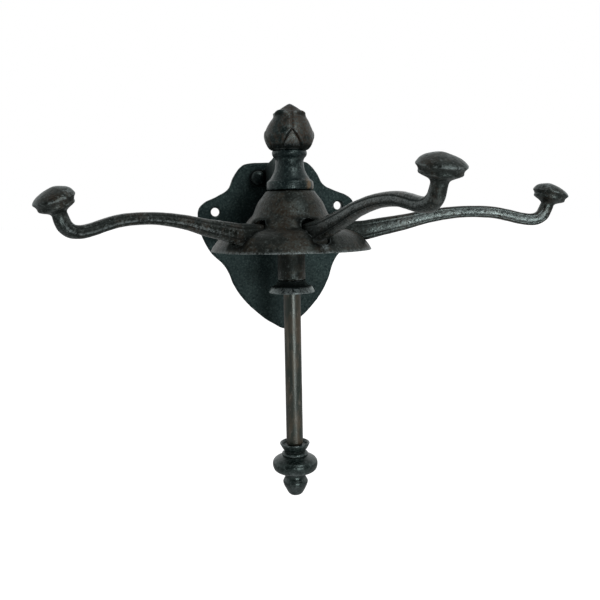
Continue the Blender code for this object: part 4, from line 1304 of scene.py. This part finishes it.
def arm_wear_and_highlights(side):
    """A band along an arm's sides, clear of the bell and of the knob, and the knob's top on the side
    towards the bell, each partly wear and partly a painted highlight."""
    middle, reach, amount = ARM_WEAR_AND_SHEEN[side]

    def wear_and_highlight(points):
        far, up, across, out = along_arm(side, points)
        band = 1 - rise(np.abs(up - middle), reach * ARM_SHEEN_CORE_SHARE, reach)
        band = band * rise(np.abs(across), *ARM_SHEEN_SIDE_SHARES)
        side_band = amount * band * rise(out, *ARM_SHEEN_START) * (1 - rise(far, *ARM_SHEEN_END_SHARES))
        return side_band + KNOB_WEAR_AND_SHEEN * knob_top(side, points)

    return wear_and_highlight


def arm_painted_shade(side):
    """Painted shade in an arm's flutes and at its root by the bell, and a little darkening on its
    knob.
    """
    amount = ARM_FLUTE_SHADE[side]

    def shade_on_arm(points):
        far, up, across, out = along_arm(side, points)
        flutes = sum(bump_at(up, height, FLUTE_SHADE_WIDTH) for height in FLUTE_RISES)
        flutes = flutes * rise(np.abs(across), *FLUTE_SIDE_SHARES)
        flutes = flutes * rise(out, *FLUTE_SHADE_START) * (1 - rise(far, *FLUTE_SHADE_END_SHARES))
        root, knob = 1 - rise(out, *ROOT_SHADE_END), rise(far, *KNOB_DARKENING_SHARES)
        return np.clip(amount * flutes + ROOT_SHADE * root + KNOB_DARKENING * knob, 0, 1)

    return shade_on_arm


def offset_inwards(line, wall):
    """An outline moved inwards by a wall, square to itself."""
    along = ways(line)
    return line + np.stack([along[:, 1], -along[:, 0]], 1) * wall


def hub_piece():
    """The bell and its sleeve: turned, slotted for the arms, melted together with the pin webs."""
    low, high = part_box("hub_bell")
    radius, top, sleeve_end = (high.x - low.x) / 2, high.z, low.z
    rim = top - BELL_HEIGHT
    outer = outline(BELL_OUTLINE_SHARES, radius, rim, BELL_HEIGHT, BELL_STEP)
    inner = offset_inwards(outer, BELL_WALL)
    keep = (inner[:, 1] < top - BELL_WALL) & (inner[:, 1] > rim) & (inner[:, 0] > SLEEVE_RADIUS)
    inner = np.vstack([[(radius - BELL_WALL, rim)], inner[keep][::-1]])
    sleeve = [(SLEEVE_RADIUS, inner[-1][1]), (SLEEVE_RADIUS, sleeve_end), (BELL_BORE, sleeve_end)]
    line = np.vstack([outer, inner, sleeve, [(BELL_BORE, top)]])
    bell = turned("cast_hub_bell", line, AXIS, BELL_COLUMNS, along=True)

    def slot_shape(grid):
        """The slot's roof rises outwards with the arm's lift, and its floor drops a little."""
        out_share = np.clip((grid[..., 0] - SLOT_NEAR) / (SLOT_FAR - SLOT_NEAR), 0, 1)
        roof_share = (grid[..., 2] - SLOT_FLOOR) / (SLOT_ROOF - SLOT_FLOOR)
        grid[..., 2] += out_share * (SLOT_RISE * roof_share - SLOT_DROP * (1 - roof_share))
        return grid

    cutters = []
    for side in ARM_REACHES:
        low = (SLOT_NEAR, -SLOT_WIDTH / 2, SLOT_FLOOR)
        high = (SLOT_FAR, SLOT_WIDTH / 2, SLOT_ROOF)
        slot = rounded_box("slot", low, high, SLOT_SHARPNESS, SLOT_STEPS, slot_shape)
        cutters.append(moved(slot, arm_place(side)))
    cut(bell, *cutters)
    webs = []
    for side in ARM_REACHES:
        stand = arm_frame(side)
        for sign in (-1, 1):
            near, far = sorted((sign * PIN_WEB_GAP, sign * (PIN_WEB_GAP + PIN_WEB_THICKNESS)))
            low = (PIN_WEB_INNER, near, -PIN_WEB_HEIGHT / 2)
            high = (PIN_WEB_OUTER, far, PIN_WEB_HEIGHT / 2)
            webs.append(moved(rounded_box("web", low, high, INNER_SHARPNESS), stand))
        low = (HEEL_STOP_NEAR, -PIN_WEB_GAP - PIN_WEB_THICKNESS / 2, HEEL_STOP_LOW)
        high = (HEEL_STOP_FAR, PIN_WEB_GAP + PIN_WEB_THICKNESS / 2, HEEL_STOP_HIGH)
        webs.append(moved(rounded_box("ledge", low, high, INNER_SHARPNESS), stand))
    return recast(joined(bell, webs), BELL_VOXEL)


def collar_painted_shade(points):
    """Painted shade in the collar's hollow top."""
    return rise(share_up("slide_collar", points), *COLLAR_HOLLOW_SHARES)


def collar_highlight_and_wear(points):
    """A painted highlight on the collar's flank, brighter still at its lower edge, which shows wear.
    """
    up = share_up("slide_collar", points)
    flank = 1 - rise(up, *COLLAR_FLANK_SHARES)
    return COLLAR_FLANK_HIGHLIGHT * flank + COLLAR_EDGE_RUB * bump_at(up, *COLLAR_EDGE_SHARES)


def stop_highlights(points):
    """Painted highlights, which also show wear, on the stop's widest part and its tip in front."""
    turn = np.arctan2(AXIS[1] - points[:, 1], points[:, 0] - AXIS[0])
    up = share_up("stop_knob", points)
    wear_and_highlight = sum(amount * bump_at(up, share, reach) for share, reach, amount in STOP_HIGHLIGHT_SHARES)
    return bump_at(turn, STOP_HIGHLIGHT_AZIMUTH, STOP_HIGHLIGHT_WIDTH) * wear_and_highlight


def hub_wear_and_glint(points):
    """The bell's rim, bright with wear, and a painted glint on the lip of the middle arm's slot."""
    rim = bump_at(points[:, 2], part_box("hub_bell")[1].z - BELL_HEIGHT, RIM_WORN_REACH)
    # Painted glint on the lip of the middle arm's slot
    lip = arm_place("middle") @ Vector((SLOT_FAR + SLOT_LIP_WIDTH, 0.0, SLOT_FLOOR - SLOT_DROP))
    away = np.linalg.norm(points - np.array(lip), axis=1)
    return np.maximum(rim, 1 - rise(away, *SLOT_LIP_GLINT_REACH))


def hub_painted_shade(points):
    """Painted shade round the slots, and the bell's painted shadow on the sleeve, darkest high up it.
    """
    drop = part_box("hub_bell")[1].z - BELL_HEIGHT - points[:, 2]
    # The bell's painted shadow on the sleeve, just under the rim
    shade_mask = SLEEVE_SHADE * rise(drop, *SLEEVE_SHADE_START) * (1 - rise(drop, *SLEEVE_SHADE_END))
    for side in ARM_REACHES:
        local = in_arm(side, points)
        aside = np.maximum(np.abs(local[:, 1]) - SLOT_WIDTH / 2, 0)
        above = np.maximum(np.abs(local[:, 2]) - SLOT_ROOF, 0)
        near = 1 - rise(np.hypot(aside, above), *SLOT_SHADE_REACH)
        shade_mask = np.maximum(shade_mask, SLOT_SHADE * near * rise(local[:, 0], *SLOT_SHADE_START))
    return shade_mask


def web_painted_shade(points):
    """Painted shade on the web and the pad, behind the neck."""
    return WEB_SHADE * rise(points[:, 1] - AXIS[1], *WEB_SHADE_START)


def foot_rust(points):
    """The golden rust on the neck's foot, in front and to the right."""
    spot = (
        AXIS[0] + NECK_RADIUS * math.cos(FOOT_RUST_AZIMUTH),
        AXIS[1] - NECK_RADIUS * math.sin(FOOT_RUST_AZIMUTH),
        NECK_BOTTOM + FOOT_RUST_RISE,
    )
    return 1 - rise(np.linalg.norm(points - spot, axis=1), *FOOT_RUST_REACH)


def build_pieces():
    """Makes every piece and sets it on its body."""
    irons = {name: cast_iron(name, **look) for name, look in IRONS.items()}
    dark, turned_iron, brown = irons["dark_iron"], irons["turned_iron"], irons["brown_iron"]
    rod_iron, steel = rubbed_rod(), plain_steel()
    finished(plate_piece(), "root", irons["plate_iron"], ["back_plate"], coats=None)
    marks = {"rust": foot_rust, "painted_shade": web_painted_shade}
    finished(bracket_piece(), "root", dark, ["top_bracket"], marks=marks)
    for side, sign in (("left", -1), ("right", 1)):
        finished(rivet_piece(side, sign), "root", dark, [f"{side}_rivet"])
    marks = {"wear_and_sheen": bud_wear_and_highlights, "painted_shade": finial_painted_shade}
    finished(finial_piece(), "root", irons["bud_iron"], ["finial"], FINIAL_COATS, marks)
    finished(stop_piece(), "root", turned_iron, ["stop_knob"], marks={"wear_and_sheen": stop_highlights})
    finished(rod_piece(), "root", rod_iron, ["rod"], ROD_COATS)
    marks = {"wear_and_sheen": collar_highlight_and_wear, "painted_shade": collar_painted_shade}
    finished(collar_piece(), "collar", turned_iron, ["slide_collar"], marks=marks)
    marks = {"wear_and_sheen": hub_wear_and_glint, "painted_shade": hub_painted_shade}
    finished(hub_piece(), "hub", irons["bell_iron"], ["hub_bell"], marks=marks)
    for side in ARM_REACHES:
        marks = {"wear_and_sheen": arm_wear_and_highlights(side), "painted_shade": arm_painted_shade(side)}
        body = f"{side}_hook"
        finished(arm_piece(side), body, brown, [f"{side}_arm"], marks=marks)
    for node in ("left_pin", "middle_pin", "right_pin", "friction_ring"):
        frame["nodes"][node].data.materials.clear()
        frame["nodes"][node].data.materials.append(steel)


def build_camera():
    """The camera where it stood for the photograph."""
    yaw, pitch, roll = (math.radians(a) for a in (CAMERA_YAW, CAMERA_PITCH, CAMERA_ROLL))
    level_share = math.cos(pitch)
    ahead = Vector((math.sin(yaw) * level_share, math.cos(yaw) * level_share, -math.sin(pitch)))
    level = Vector((math.cos(yaw), -math.sin(yaw), 0.0))
    upright = level.cross(ahead)
    right = math.cos(roll) * level + math.sin(roll) * upright
    up = -math.sin(roll) * level + math.cos(roll) * upright
    stand = Matrix((right, up, -ahead)).transposed().to_4x4()
    stand.translation = Vector(CAMERA_PLACE)
    lens = bpy.data.cameras.new("camera")
    lens.lens = CAMERA_LENS
    lens.sensor_width = SENSOR_WIDTH
    lens.clip_start = NEAR_CLIP
    camera = placed("camera", lens)
    camera.matrix_world = stand
    bpy.context.scene.camera = camera


def soft_lamp(name, place, width, power):
    """A square lamp that faces the hook."""
    data = bpy.data.lights.new(name, "AREA")
    data.shape = "SQUARE"
    data.size = width
    data.energy = power
    lamp = placed(name, data)
    lamp.location = place
    lamp.rotation_euler = (Vector(LAMP_AIM) - Vector(place)).to_track_quat("-Z", "Y").to_euler()


def build_world():
    """White surroundings beside and behind the hook, dimmer above it and on the room's side.

    The camera, and what it sees through things, meets plain white. So does shiny iron towards the
    backdrop, where the room's own level is white, but not overhead.
    """
    world = bpy.data.worlds.new("studio")
    bpy.context.scene.world = world
    world.use_nodes = True
    w = Nodes(world.node_tree)
    way = w.node("ShaderNodeTexCoord", output="Generated")
    across = w.node("ShaderNodeSeparateXYZ", None, {0: way}, output="Y")
    above = w.node("ShaderNodeSeparateXYZ", None, {0: way}, output="Z")
    backdrop = across.ramp(*BACKDROP_TURN)
    room = (ROOM_LEVEL + backdrop * (1 - ROOM_LEVEL)) * (1 - above.ramp(*CEILING_TURN) * CEILING_DIM)
    seen = w.node("ShaderNodeLightPath", output="Is Camera Ray")
    through = w.node("ShaderNodeLightPath", output="Is Transmission Ray")
    glossy = w.node("ShaderNodeLightPath", output="Is Glossy Ray") * backdrop
    level = seen.math("MAXIMUM", through).math("MAXIMUM", glossy * room).math("MAXIMUM", room)
    sky = world.node_tree.nodes["Background"]
    w.feed(sky.inputs["Color"], (1.0, 1.0, 1.0, 1.0))
    w.feed(sky.inputs["Strength"], level)


def build_floor():
    """A pale floor below the hook. The camera sees it lifted to white away from the shadow."""
    z = cad_low.z - FLOOR_DROP
    corners = ((-1, -1), (1, -1), (1, 1), (-1, 1))
    mesh = bpy.data.meshes.new("floor")
    mesh.from_pydata([(x * FLOOR_REACH, y * FLOOR_REACH, z) for x, y in corners], [], [(0, 1, 2, 3)])
    floor = placed("floor", mesh)
    paint = bpy.data.materials.new("pale_floor")
    paint.use_nodes = True
    f = Nodes(paint.node_tree)
    f.tree.nodes.clear()
    place = f.node("ShaderNodeTexCoord", output="Object")
    flat = f.node("ShaderNodeVectorMath", {"operation": "MULTIPLY"}, {0: place, 1: (1.0, 1.0, 0.0)})
    away = f.node("ShaderNodeVectorMath", {"operation": "LENGTH"}, {0: flat}, output="Value")
    seen = f.node("ShaderNodeLightPath", output="Is Camera Ray")
    near, far = FLOOR_LIFT
    strength = seen * (near + away.ramp(*FLOOR_LIFT_REACH) * (far - near))
    matt = f.node("ShaderNodeBsdfDiffuse", None, {"Color": (FLOOR_GREY, FLOOR_GREY, FLOOR_GREY, 1.0)})
    lift = f.node("ShaderNodeEmission", None, {"Strength": strength})
    both = f.node("ShaderNodeAddShader", None, {0: matt, 1: lift})
    out = f.tree.nodes.new("ShaderNodeOutputMaterial")
    f.feed(out.inputs["Surface"], both)
    mesh.materials.append(paint)


def build_studio():
    """The surroundings, the floor and the soft lamps."""
    build_world()
    build_floor()
    for name, settings in LAMPS.items():
        soft_lamp(name, *settings)


build_pieces()
build_camera()
build_studio()
bpy.context.scene.view_settings.view_transform = "Standard"
